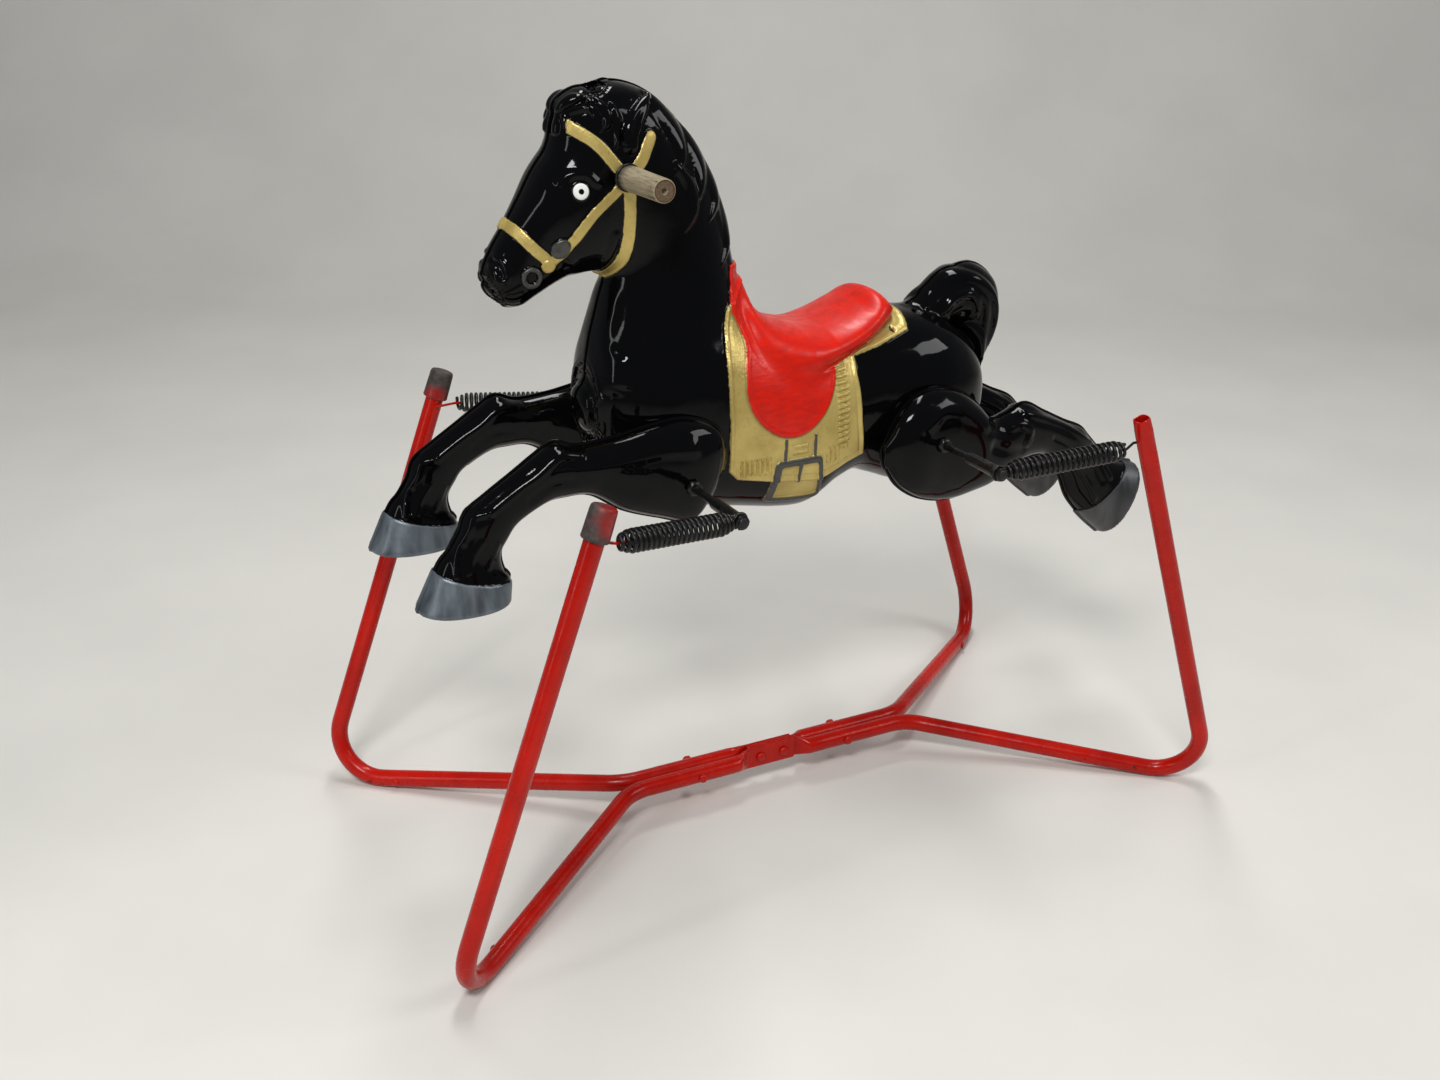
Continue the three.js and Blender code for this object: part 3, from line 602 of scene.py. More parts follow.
def fine_zone(centres, zones):
    """Which faces lie in any of the boxes (x0, x1, z0, z1)."""
    keep = np.zeros(len(centres), bool)
    for x0, x1, z0, z1 in zones:
        keep |= (centres[:, 0] > x0) & (centres[:, 0] < x1) & (centres[:, 2] > z0) & (centres[:, 2] < z1)
    return keep


def arrays(bm):
    bm.verts.ensure_lookup_table()
    return np.array([v.co for v in bm.verts])


def place_all(bm, points):
    for v, p in zip(bm.verts, points):
        v.co = p


def half_shell(field, relief, paint, low, high, pitch, zones, lip, bores=()):
    """A closed bmesh of the half on +Y of a form, with a seam lip round it. Millimetres, seam at y 0.
    lip is its width and its half thickness. bores are the (x, z, radius) of holes through the form."""
    points, quads = surface(field, low, high, pitch)
    points = settle(field, points, 2)
    points = relax(points, quads, 4)
    points = settle(field, points, 3)
    quads = outward(points, quads, field)
    bm = bmesh.new()
    for p in points:
        bm.verts.new(p)
    bm.verts.ensure_lookup_table()
    for q in quads:
        bm.faces.new([bm.verts[i] for i in q])
    if zones:
        keep = fine_zone(points[quads].mean(axis=1), zones)
        edges = {e for f, k in zip(bm.faces, keep) if k for e in f.edges}
        bmesh.ops.subdivide_edges(bm, edges=list(edges), cuts=1, use_grid_fill=True)
        place_all(bm, settle(field, arrays(bm), 2))
    points = arrays(bm)
    place_all(bm, points + gradient(field, points) * relief(*points.T)[:, None])
    for name, values in paint(*points.T).items():
        layer = bm.verts.layers.float.new(name)
        for v, value in zip(bm.verts, values):
            v[layer] = value
    parts = bm.verts[:] + bm.edges[:] + bm.faces[:]
    bmesh.ops.bisect_plane(bm, geom=parts, plane_co=(0, lip[1], 0), plane_no=(0, -1, 0),
                           clear_outer=True, dist=1e-5)
    close_seam(bm, lip, bores)
    return bm


def close_seam(bm, lip, bores):
    """Turns the open edge at the seam outwards into a flange, and closes it at the seam plane.
    The flange is ground nearly flush over the seat."""
    wide, thick = lip
    bm.normal_update()
    rim = [e for e in bm.edges if e.is_boundary]
    ways = {}
    for v in {v for e in rim for v in e.verts}:
        in_bore = any(math.hypot(v.co.x - x, v.co.z - z) < r + 2 for x, z, r in bores)
        way = Vector((v.normal.x, 0, v.normal.z))
        flush = FLUSH_SHARE if FLUSH_X[0] < v.co.x < FLUSH_X[1] and v.co.z > FLUSH_Z else 1.0
        ways[v] = Vector() if in_bore or way.length < 1e-6 else way.normalized() * flush
    for out, y in ((0.6 * wide, thick), (0.4 * wide, 0.72 * thick), (0.0, SEAM_GAP)):
        made = bmesh.ops.extrude_edge_only(bm, edges=rim)["geom"]
        rim = [g for g in made if isinstance(g, bmesh.types.BMEdge) and g.is_boundary]
        for v in [g for g in made if isinstance(g, bmesh.types.BMVert)]:
            old = next(e.other_vert(v) for e in v.link_edges if e.other_vert(v) in ways)
            ways[v] = ways[old]
            v.co += ways[v] * out
            v.co.y = y
    bmesh.ops.triangle_fill(bm, edges=rim, use_beauty=True, normal=(0, -1, 0))
    bmesh.ops.recalc_face_normals(bm, faces=bm.faces)


def shell_piece(name, bm, mirrored, shift=lambda x: 0.0):
    """One pressing from a half shell in millimetres. shift is its seam plane's y at x."""
    part = bm.copy()
    for v in part.verts:
        v.co.y += shift(v.co.x)
        v.co *= MM
        v.co.y *= -1 if mirrored else 1
    if mirrored:
        bmesh.ops.reverse_faces(part, faces=part.faces)
    mesh = bpy.data.meshes.new(name)
    part.to_mesh(mesh)
    part.free()
    piece = bpy.data.objects.new(name, mesh)
    bpy.context.scene.collection.objects.link(piece)
    shade(piece, 50)
    return piece


def finish_piece(piece, body, slot, look, *nodes):
    """Sets what a piece rides on and its finish, and hides the CAD nodes it stands for."""
    piece.data.materials.append(look)
    if body:
        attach(piece, body)
    if nodes:
        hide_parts(*nodes)
    return piece


# ------------------------------------------------------------------ legs
FRONT_HOOF = [(-412, 380), (-397, 372), (-380, 366), (-361, 361), (-340, 357), (-326, 354), (-300, 290),
              (-480, 290)]
REAR_HOOF = [(413, 340), (403, 331), (387, 318), (372, 307), (361, 301), (356, 290), (380, 230),
             (500, 300), (470, 380)]
FRONT_RIDGES = [
    ([(-262, 470), (-284, 472), (-305, 457), (-322, 447), (-350, 429)], 6, 2.2),
    ([(-352, 428), (-366, 425), (-372, 412), (-384, 392), (-388, 374)], 4.5, 1.8),
    ([(-361, 402), (-370, 390), (-377, 376)], 4, 1.4),
    ([(-345, 398), (-350, 388), (-357, 376)], 4, 1.2),
    ([(-150, 462), (-185, 466), (-222, 462), (-258, 458)], 12, 1.6)]
FRONT_HOLLOWS = [([(-272, 448), (-292, 448), (-312, 436)], 8, 1.6), ([(-378, 398), (-383, 378)], 4, 1.2),
                 ([(-206, 428), (-240, 440)], 14, 1.4)]
REAR_RIDGES = [
    ([(258, 436), (290, 424), (325, 408), (358, 386)], 5.5, 2.0),
    ([(362, 385), (376, 366), (392, 340)], 4.5, 1.6), ([(340, 362), (358, 340), (372, 318)], 4.5, 1.6),
    ([(236, 424), (250, 426), (262, 418), (258, 404)], 7, 2.2),
    ([(118, 446), (142, 460), (172, 452), (200, 436)], 13, 1.6)]
REAR_HOLLOWS = [
    ([(212, 408), (232, 400), (252, 396)], 11, 2.0), ([(300, 402), (325, 388), (342, 368)], 5, 1.4),
    ([(366, 360), (380, 336)], 4, 1.2)]


def leg_relief(ridges, hollows, hoof):
    """Bones and sinews raised on the leg, and the hoof's step at its top edge."""
    def relief(x, y, z):
        up = np.zeros(x.shape)
        for line, wide, high in ridges:
            up += high * crease(x, z, line, wide)
        for line, wide, deep in hollows:
            up -= deep * crease(x, z, line, wide)
        edge = outline_distance(x, z, hoof)
        return up * step(-edge - 1, 2) + 1.5 * step(edge, 1.2)
    return relief


def leg_paint(hoof):
    def paint(x, y, z):
        return {"hoof": outline_distance(x, z, hoof)}
    return paint


BAR_Z, BAR_BORE, LEG_GAP = 424, 4.7, 0.4


def leg_field(form, taper, side, bores):
    """The field of one half of a right leg: y runs from its seam plane, out on side 1, in on side -1."""
    def field(x, y, z):
        own = form.distance(x, y, z)
        world_y = LEG_PLANE - taper * (x - REAR_AXLE) + side * y
        return np.maximum(own, LEG_GAP - body_distance(x, world_y, z))
    return with_bores(field, bores)


# ------------------------------------------------------------------ round stock: sweeps and turned parts
def unit(v):
    return v / np.maximum(np.linalg.norm(v, axis=-1, keepdims=True), 1e-12)


def station_frames(points):
    """Directions along a route, and two across it that don't twist."""
    p = np.array(points, float)
    runs = unit(np.diff(p, axis=0))
    along = unit(np.vstack([runs[:1], runs[:-1] + runs[1:], runs[-1:]]))
    across = np.zeros_like(p)
    first = np.cross(along[0], (0, 0, 1) if abs(along[0][2]) < 0.9 else (1, 0, 0))
    for i, t in enumerate(along):
        side = first if i == 0 else across[i - 1]
        across[i] = unit(side - t * np.dot(side, t))
    return p, along, across, np.cross(along, across)


def rings_of(points, radii, sides):
    """Rings of points round a route, one for each of its stations."""
    p, _, across, up = station_frames(points)
    a = 2 * math.pi * np.arange(sides) / sides
    radii = np.broadcast_to(np.asarray(radii, float), len(p))[:, None, None]
    circle = np.cos(a)[None, :, None] * across[:, None] + np.sin(a)[None, :, None] * up[:, None]
    return p[:, None] + radii * circle


def skin(name, rings):
    """A mesh over a list of rings, with its ends filled. Millimetres."""
    rings = np.asarray(rings, float)
    count, sides = rings.shape[:2]
    vertices = list(rings.reshape(-1, 3))
    faces = []
    for i in range(count - 1):
        for k in range(sides):
            n = (k + 1) % sides
            faces.append((i * sides + k, i * sides + n, (i + 1) * sides + n, (i + 1) * sides + k))
    for end in (0, count - 1):
        hub = len(vertices)
        vertices.append(rings[end].mean(axis=0))
        for k in range(sides):
            pair = (end * sides + k, end * sides + (k + 1) % sides)
            faces.append((*(pair if end else pair[::-1]), hub))
    piece = add_object(name, np.array(vertices) * MM, faces)
    bm = bmesh.new()
    bm.from_mesh(piece.data)
    bmesh.ops.recalc_face_normals(bm, faces=bm.faces)
    bm.to_mesh(piece.data)
    bm.free()
    return piece


def turned(name, profile, place, axis, sides=48, hexagon=None):
    """A part turned about an axis from a profile of (radius, along). hexagon is the part of the profile,
    from one row to another, that is six-sided."""
    place, axis = np.array(place, float), unit(np.array(axis, float))
    side = unit(np.cross(axis, (0, 0, 1) if abs(axis[2]) < 0.9 else (1, 0, 0)))
    up = np.cross(axis, side)
    a = 2 * math.pi * np.arange(sides) / sides
    flat = math.cos(math.pi / 6) / np.cos((a % (math.pi / 3)) - math.pi / 6)
    rings = []
    for i, (r, s) in enumerate(profile):
        six = hexagon is not None and hexagon[0] <= i <= hexagon[1]
        radius = r * (flat if six else np.ones(sides))
        circle = np.cos(a)[:, None] * side + np.sin(a)[:, None] * up
        rings.append(place + axis * s + radius[:, None] * circle)
    piece = skin(name, rings)
    shade(piece, 32)
    return piece


def rounded_route(corners, radii, arc_steps):
    """Stations along straight runs, with arcs at the corners between them."""
    corners = np.array(corners, float)
    points = [corners[0]]
    for i, radius in enumerate(radii):
        corner = corners[i + 1]
        a, b = unit(corners[i] - corner), unit(corners[i + 2] - corner)
        half = math.acos(np.clip(np.dot(a, b), -1, 1)) / 2
        centre = corner + unit(a + b) * radius / math.sin(half)
        start = corner + a * radius / math.tan(half) - centre
        normal = unit(np.cross(b, a))
        for k in range(arc_steps + 1):
            angle = (math.pi - 2 * half) * k / arc_steps
            turn = Matrix.Rotation(angle, 3, Vector(normal))
            points.append(np.array(turn @ Vector(start)) + centre)
    points.append(corners[-1])
    return np.array(points)


def spaced(points, gap):
    """A route with extra stations so that none are further apart than gap."""
    out = [points[0]]
    for a, b in zip(points, points[1:]):
        n = max(1, int(math.ceil(np.linalg.norm(b - a) / gap)))
        out += [a + (b - a) * k / n for k in range(1, n + 1)]
    return np.array(out)


# ------------------------------------------------------------------ stand
TUBE_R, TUBE_WALL, BEND_R, SPLIT_R = 9.5, 1.5, 50, 60
TOP, FOOT = (-295, -222, 465), (-461, -230.5)
SPLIT_X, SPINE_Y, SPINE_Z = 180, 9.65, 37.7
FOOT_WEAR = 0.4
LAP, LAP_T, LAP_H, FLATTEN = 30, 3.2, 25, 18
EYE_Z = 435
SIDES = 36


def post_route(corner_z, steps=16):
    corners = [TOP, (*FOOT, corner_z), (-SPLIT_X, -SPINE_Y, SPINE_Z), (-LAP - FLATTEN, -SPINE_Y, SPINE_Z)]
    return rounded_route(corners, [BEND_R, SPLIT_R], steps)


CORNER_Z = TUBE_R - FOOT_WEAR - post_route(0)[:, 2].min()
POST_DIRECTION = unit(np.array(TOP) - np.array((*FOOT, CORNER_Z)))
EYE_POINT = np.array(TOP) + POST_DIRECTION * (EYE_Z - TOP[2]) / POST_DIRECTION[2]


def lap_rings(flat_y, sides):
    """From the round tube, squeezed flat for the bolted lap. The middle of the flat is pressed in."""
    a = 2 * math.pi * np.arange(sides) / sides
    rows = []
    stations = [(0, 0.0)] + [(FLATTEN * t, t * t * (3 - 2 * t)) for t in np.linspace(0.12, 1, 9)]
    stations += [(FLATTEN + 2 * LAP * t, 1.0) for t in (0.04, 0.5, 0.94, 0.97)]
    for along, s in stations:
        tall = TUBE_R + (LAP_H / 2 - TUBE_R) * s
        wide = TUBE_R + (LAP_T / 2 - TUBE_R) * s
        n = 2 + 3.2 * s ** 3
        c, d = np.cos(a), np.sin(a)
        up = np.sign(d) * np.abs(d) ** (2 / n) * tall
        out = np.sign(c) * np.abs(c) ** (2 / n) * wide
        out *= 1 - 0.28 * s ** 4 * ridge(np.abs(up), 8)
        y = -SPINE_Y + (flat_y + SPINE_Y) * s
        rows.append(np.stack([np.full(sides, -LAP - FLATTEN + along), y + out, SPINE_Z + up], axis=1))
    last = rows[-1]
    centre = last.mean(axis=0)
    for grow, shift in ((0.97, 0.9), (0.88, 1.6)):
        row = centre + (last - centre) * grow
        row[:, 0] = last[0, 0] + shift
        rows.append(row)
    return rows


def tube_rings(outermost, open_end):
    """One bent tube of the front left quarter, from inside its open top to its flat end."""
    flat_y = -(0.15 + 1.5 * LAP_T + 0.3) if outermost else -(0.15 + LAP_T / 2)
    route = spaced(post_route(CORNER_Z), 14)
    rings = list(rings_of(route, TUBE_R, SIDES))
    top = np.array(TOP)
    mouth = [(TUBE_R - TUBE_WALL, down) for down in (70, 35, 12, 4, 0.4)]
    mouth += [(TUBE_R - 1.1, 0), (TUBE_R - 0.4, 0)]
    inside = [top - POST_DIRECTION * down + (rings[0] - top) * r / TUBE_R for r, down in mouth]
    first = rings[0] - POST_DIRECTION * 0.4
    close = [rings[0] - POST_DIRECTION * d for d in (3, 6, 9)]
    rings = inside + [first] + close + rings[1:-1]
    # the sweep's last ring and the lap's first are turned to match
    lap = lap_rings(flat_y, SIDES)
    joint = rings[-1]
    angle = np.arctan2(joint[:2, 2] - SPINE_Z, joint[:2, 1] + SPINE_Y)
    if math.sin(angle[1] - angle[0]) < 0:
        lap = [row[::-1] for row in lap]
    start = int(np.argmin(np.linalg.norm(lap[0][:, 1:] - joint[0, 1:], axis=1)))
    lap = [np.roll(row, -start, axis=0) for row in lap]
    rings = np.array(rings + lap)
    rings[..., 2] = np.maximum(rings[..., 2], 0.0)
    if open_end:
        rings = squashed_end(rings)
    return rings


def squashed_end(rings):
    """The bare post's mouth is bent out of round, and dented in at the hook's hole."""
    top = np.array(TOP)
    down = (top - rings) @ POST_DIRECTION
    centre = top - down[..., None] * POST_DIRECTION
    way = rings - centre
    side = unit(np.cross(POST_DIRECTION, (0, 1, 0)))
    across = (way @ side) / TUBE_R
    front = -way[..., 1] / TUBE_R
    mouth = np.clip(1 - down / 16, 0, 1)[..., None]
    squeeze = -0.16 * mouth * (way @ side)[..., None] * side
    lift = 1.6 * mouth ** 2 * (np.cos(2.4 * across) * np.clip(front, -1, 1))[..., None] * POST_DIRECTION
    dent = np.exp(-((down - 34) / 5) ** 2) * np.clip(front, 0, 1) ** 3 * 2.2
    dent += np.exp(-((down - 27) / 7) ** 2) * np.clip(front, 0, 1) ** 2 * 0.8
    return rings + squeeze + lift + dent[..., None] * np.array((0, 1, 0))


def turned_side(points, rear, right):
    """Front-left points, turned to another quarter of the stand."""
    return np.asarray(points, float) * (-1 if rear else 1, -1 if right else 1, 1)


def stand_tube(end, side, look):
    rear, right = end == "rear", side == "right"
    rings = tube_rings(not rear, rear and not right)
    piece = skin(f"tube_{end}_{side}", turned_side(rings, rear, right))
    shade(piece, 40)
    return finish_piece(piece, "stand", "stand_red", look, f"stand_tube_{end}_{side}")


CAP = [(TUBE_R + 0.5, 0.3), (TUBE_R + 0.5, -24.6), (TUBE_R + 1.6, -25), (TUBE_R + 2.8, -24.8),
       (TUBE_R + 3.5, -24), (TUBE_R + 3.6, -22.5), (TUBE_R + 3.4, -20.8), (TUBE_R + 3.2, -10),
       (TUBE_R + 2.9, 2), (TUBE_R + 2.4, 4.4), (TUBE_R + 1.4, 5.7), (TUBE_R - 0.6, 6.3), (8.2, 6.3),
       (7.4, 5.9), (3, 5.9)]


def post_cap(end, side, look):
    rear, right = end == "rear", side == "right"
    place, axis = turned_side(TOP, rear, right), turned_side(POST_DIRECTION, rear, right)
    piece = turned(f"cap_{end}_{side}", [(0.5, 0.3)] + CAP + [(0.5, 5.95)], place, axis, 56)
    return finish_piece(piece, "stand", "cap_rubber", look, f"post_cap_{end}_{side}")


def foot_stud(end, side, look):
    rear, right = end == "rear", side == "right"
    corner, split = np.array((*FOOT, CORNER_Z)), np.array((-SPLIT_X, -SPINE_Y, SPINE_Z))
    along = unit(split - corner)
    place, inward = corner + along * 92, unit(np.cross((0, 0, 1), along))
    profile = [(1.9, 4), (1.9, TUBE_R - 0.5), (4.2, TUBE_R - 0.5), (4.3, TUBE_R + 0.3), (3.9, TUBE_R + 1.2),
               (3.0, TUBE_R + 1.9), (1.6, TUBE_R + 2.3), (0.4, TUBE_R + 2.4)]
    piece = turned(f"stud_{end}_{side}", profile, turned_side(place, rear, right),
                   turned_side(inward, rear, right), 32)
    return finish_piece(piece, "stand", "stand_red", look, f"foot_stud_{end}_{side}")


def spine_bolt(name, x, reach, look):
    """Round-headed bolt across the spine, head on the left, with a six-sided nut on the right."""
    start = -reach - 0.3
    head = [(0.4, start - 4.0), (2.2, start - 3.8), (4.0, start - 3.0), (5.1, start - 1.7),
            (5.5, start - 0.5), (5.5, start), (3.0, start), (3.0, reach + 7.6), (2.5, reach + 8.2),
            (0.4, reach + 8.3)]
    bolt = turned(f"spine_{name}", head, (x, 0, SPINE_Z), (0, 1, 0), 32)
    finish_piece(bolt, "stand", "stand_red", look, f"bolt_{name}")
    r, y = 6.2, reach + 0.3
    nut = [(3.1, y), (5.2, y), (r, y + 0.7), (r, y + 4.2), (5.2, y + 4.9), (3.1, y + 4.9)]
    piece = turned(f"spine_nut_{name}", nut, (x, 0, SPINE_Z), (0, 1, 0), 36, (2, 3))
    finish_piece(piece, "stand", "stand_red", look, f"nut_{name}")


# ------------------------------------------------------------------ bars, springs and grips
BAR_R, BAR_END, RING_Y, LEG_FACE = 4, 208, 200, 105.4
BARS = {"front": (-152, "front_bar"), "rear": (138, "horse")}
SPRING_R, SPRING_WIRE, SPRING_TURNS, TURN_STEPS = 9.5, 1.8, 23, 28
SPRING_START, SPRING_STOP = 9, 26           # the coil's ends, from the bar's ring and from the post's eye
HOOK_WIRE, WIRE_SIDES = 1.4, 10
GRIP_X, GRIP_Z, GRIP_IN, GRIP_OUT = -191, 710, 51, 126


def foot_bar(end, look):
    """A round bar with a collar, a sleeve and an end nut on each side."""
    x, body = BARS[end]
    profile = [(0.4, -BAR_END), (3.0, -BAR_END + 0.2), (BAR_R, -BAR_END + 1.2), (BAR_R, BAR_END - 1.2),
               (3.0, BAR_END - 0.2), (0.4, BAR_END)]
    bar = turned(f"{end}_bar", profile, (x, 0, BAR_Z), (0, 1, 0), 32)
    finish_piece(bar, body, "satin_black", look, f"{end}_foot_bar")
    for side, way in (("left", -1), ("right", 1)):
        axis, place = (0, way, 0), (x, 0, BAR_Z)
        y = LEG_FACE
        collar = [(4.2, y), (7.6, y), (8.3, y + 0.8), (8.3, y + 3.6), (6.8, y + 5.2), (5.6, y + 6),
                  (4.2, y + 6)]
        piece = turned(f"{end}_collar_{side}", collar, place, axis, 36, (1, 3))
        finish_piece(piece, body, "satin_black", look, f"{end}_bar_collar_{side}")
        y0, y1 = RING_Y - 50, RING_Y - 3.6
        sleeve = [(4.2, y0), (5.4, y0), (6.1, y0 + 0.8), (6.2, y0 + 20), (6.3, y1 - 6), (6.8, y1 - 3),
                  (6.6, y1 - 0.6), (6.0, y1), (4.2, y1)]
        piece = turned(f"{end}_sleeve_{side}", sleeve, place, axis, 36)
        finish_piece(piece, body, "satin_black", look, f"{end}_bar_sleeve_{side}")
        y0, y1 = RING_Y + 3.6, BAR_END - 0.3
        nut = [(4.2, y0), (6.6, y0), (7.6, y0 + 0.6), (7.6, y1 - 2.6), (6.8, y1 - 1.9), (5.2, y1 - 1.6),
               (4.9, y1 - 0.6), (4.2, y1)]
        piece = turned(f"{end}_nut_{side}", nut, place, axis, 36, (2, 3))
        finish_piece(piece, body, "satin_black", look, f"{end}_bar_nut_{side}")


def spring_line(x):
    """Ring on the bar, eye in the post, and the direction between them, for a left spring."""
    ring = np.array((x, -RING_Y, BAR_Z), float)
    eye = EYE_POINT * (-1 if x > 0 else 1, 1, 1)
    return ring, eye, unit(eye - ring), np.linalg.norm(eye - ring)


def coil_points(x):
    """The wire's route: end ring on the bar, a lead up to the coil, then the coil with tapered ends."""
    ring, _, along, length = spring_line(x)
    up = unit(np.array((0, 0, 1)) - along * along[2])
    side = np.cross(along, up)
    loop_r = BAR_R + 1.2 + SPRING_WIRE
    points = []
    for k in range(25):
        a = math.pi * (1.32 - 1.7 * k / 24)
        points.append(ring - along * loop_r * math.cos(a) + up * loop_r * math.sin(a))
    run = length - SPRING_START - SPRING_STOP
    stations = SPRING_TURNS * TURN_STEPS
    for k in range(stations + 1):
        s = k / stations
        a = 2 * math.pi * k / TURN_STEPS
        waist = min(1.0, 0.56 + 3.6 * min(s, 1 - s) ** 0.9)
        r = SPRING_R * waist
        points.append(ring + along * (SPRING_START + run * s) + up * r * math.cos(a)
                      + side * r * math.sin(a))
    return np.array(points)


def hook_points(x):
    """Wire hook: out of the coil's end, along the post's inner side and into its cross hole."""
    ring, eye, along, length = spring_line(x)
    inner = ring + along * (length - SPRING_STOP - 7)
    mouth = ring + along * (length - SPRING_STOP + 2)
    to_post = math.copysign(1, eye[0] - ring[0])
    reach = TUBE_R + HOOK_WIRE + 1
    line = [inner, mouth, eye + (-to_post * 7, reach, 0), eye + (0, reach, 0), eye + (0, 3 - TUBE_R, 0)]
    return rounded_route(line, [3, 3, 2], 6)


def wire(name, points, radius, side):
    """A round wire with blunt ends along a left-hand route, or its mirror image."""
    rings = rings_of(points, radius, WIRE_SIDES)
    tip = rings_of(points, radius * 0.6, WIRE_SIDES)
    _, along, _, _ = station_frames(points)
    first, last = tip[0] - along[0] * 0.4, tip[-1] + along[-1] * 0.4
    piece = skin(name, turned_side(np.concatenate([[first], rings, [last]]), False, side == "right"))
    piece.data.shade_smooth()
    return piece


def bend_between(piece, slot, look):
    """Gives a spring piece its finish and bakes its place into its mesh; it rides on no body."""
    finish_piece(piece, None, slot, look)
    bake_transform(piece)


def springs(look, hook_look):
    """Four coils and their hooks. A rear coil is in two pieces, since it spans three bodies."""
    for end, (x, _) in BARS.items():
        ring, eye, along, length = spring_line(x)
        middle = ring + along * length / 2
        for side in ("left", "right"):
            route = coil_points(x)
            hook = wire(f"hook_wire_{end}_{side}", hook_points(x), HOOK_WIRE, side)
            if end == "front":
                coil = wire(f"coil_{end}_{side}", route, SPRING_WIRE, side)
                bend_between(coil, "satin_black", look)
                bend_between(hook, "stand_red", hook_look)
                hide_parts(f"spring_{end}_{side}")
            else:
                cut = int(np.argmin(np.abs((route - middle) @ along)))
                inner = wire(f"coil_{end}_{side}_bar_end", route[:cut + 1], SPRING_WIRE, side)
                outer = wire(f"coil_{end}_{side}_post_end", route[cut:], SPRING_WIRE, side)
                bend_between(inner, "satin_black", look)
                bend_between(outer, "satin_black", look)
                bend_between(hook, "satin_black", look)
                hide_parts(f"spring_{end}_{side}")
            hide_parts(f"hook_{end}_{side}")


def grips(wood, metal):
    rod = [(0.4, -GRIP_OUT + 6), (3.4, -GRIP_OUT + 6.2), (4, -GRIP_OUT + 7), (4, GRIP_OUT - 7),
           (3.4, GRIP_OUT - 6.2), (0.4, GRIP_OUT - 6)]
    piece = turned("handle_rod", rod, (GRIP_X, 0, GRIP_Z), (0, 1, 0), 24)
    finish_piece(piece, "horse", "satin_black", metal, "grip_rod")
    for side, way in (("left", -1), ("right", 1)):
        place, axis = (GRIP_X, 0, GRIP_Z), (0, way, 0)
        y0, y1 = GRIP_IN, GRIP_OUT
        profile = [(4.3, y0), (10.6, y0), (11.6, y0 + 0.9), (11.9, y0 + 4), (11.7, y0 + 12), (11.3, y0 + 30),
                   (11.0, y0 + 55), (10.9, y1 - 3), (10.7, y1 - 1.0), (10.1, y1 - 0.2), (9.2, y1),
                   (8.9, y1 - 0.5), (3.4, y1 - 0.5), (2.6, y1 - 1.6), (2.6, y1 - 5), (0.3, y1 - 5.4)]
        piece = turned(f"handle_{side}", dense(profile, 2.0), place, axis, 64)
        finish_piece(piece, "horse", "grip_wood", wood, f"grip_{side}")
        washer = [(4.3, y0 - 4), (12.2, y0 - 4), (13, y0 - 3.2), (13, y0 - 1.1), (12.2, y0 - 0.3),
                  (4.3, y0 - 0.3)]
        piece = turned(f"handle_washer_{side}", washer, place, axis, 48)
        finish_piece(piece, "horse", "satin_black", metal, f"grip_washer_{side}")


def dense(profile, gap):
    """A turned profile with extra rows along its straight runs."""
    return [tuple(p) for p in spaced(np.array(profile, float), gap)]


# ------------------------------------------------------------------ finishes
class Look:
    """A procedural node material, with short names for the nodes that all of them use."""

    def __init__(self, name):
        self.material = bpy.data.materials.new(name)
        self.material.use_nodes = True
        self.tree = self.material.node_tree
        self.shader = self.tree.nodes["Principled BSDF"]
        self.place = self.node("ShaderNodeTexCoord").outputs["Object"]

    def node(self, kind, inputs=(), **settings):
        made = self.tree.nodes.new(kind)
        for key, value in settings.items():
            setattr(made, key, value)
        for socket, value in dict(inputs).items():
            self.feed(made.inputs[socket], value)
        return made

    def feed(self, socket, value):
        if isinstance(value, bpy.types.NodeSocket):
            self.tree.links.new(value, socket)
        else:
            socket.default_value = value

    def set(self, **values):
        for name, value in values.items():
            self.feed(self.shader.inputs[name.replace("_", " ")], value)

    def stretched(self, scale, turn=(0, 0, 0)):
        return self.node("ShaderNodeMapping", {"Vector": self.place, "Scale": scale,
                                               "Rotation": turn}).outputs["Vector"]

    def noise(self, scale, detail=3.0, rough=0.55, vector=None):
        made = self.node("ShaderNodeTexNoise", {"Vector": vector or self.place, "Scale": scale,
                                                "Detail": detail, "Roughness": rough})
        return made.outputs["Fac"]

    def spread(self, value, low, high, to_low=0.0, to_high=1.0):
        made = self.node("ShaderNodeMapRange", {"Value": value, "From Min": low, "From Max": high,
                                                "To Min": to_low, "To Max": to_high})
        return made.outputs["Result"]

    def maths(self, operation, a, b):
        made = self.node("ShaderNodeMath", operation=operation)
        self.feed(made.inputs[0], a)
        self.feed(made.inputs[1], b)
        return made.outputs[0]

    def mix(self, share, a, b):
        made = self.node("ShaderNodeMix", data_type="RGBA")
        self.feed(made.inputs["Factor"], share)
        self.feed(made.inputs[6], a)
        self.feed(made.inputs[7], b)
        return made.outputs[2]

    def mix_value(self, share, a, b):
        made = self.node("ShaderNodeMix", data_type="FLOAT")
        self.feed(made.inputs["Factor"], share)
        self.feed(made.inputs[2], a)
        self.feed(made.inputs[3], b)
        return made.outputs[0]

    def mask(self, name, edge=0.5, wobble=None):
        """1 where the painted zone is, from the signed distance stored on the mesh."""
        d = self.node("ShaderNodeAttribute", attribute_name=name).outputs["Fac"]
        if wobble is not None:
            d = self.maths("ADD", d, wobble)
        return self.spread(d, edge, -edge)

    def bump(self, height, distance, strength=1.0, under=None):
        made = self.node("ShaderNodeBump", {"Height": height, "Distance": distance, "Strength": strength})
        if under is not None:
            self.feed(made.inputs["Normal"], under)
        return made.outputs["Normal"]


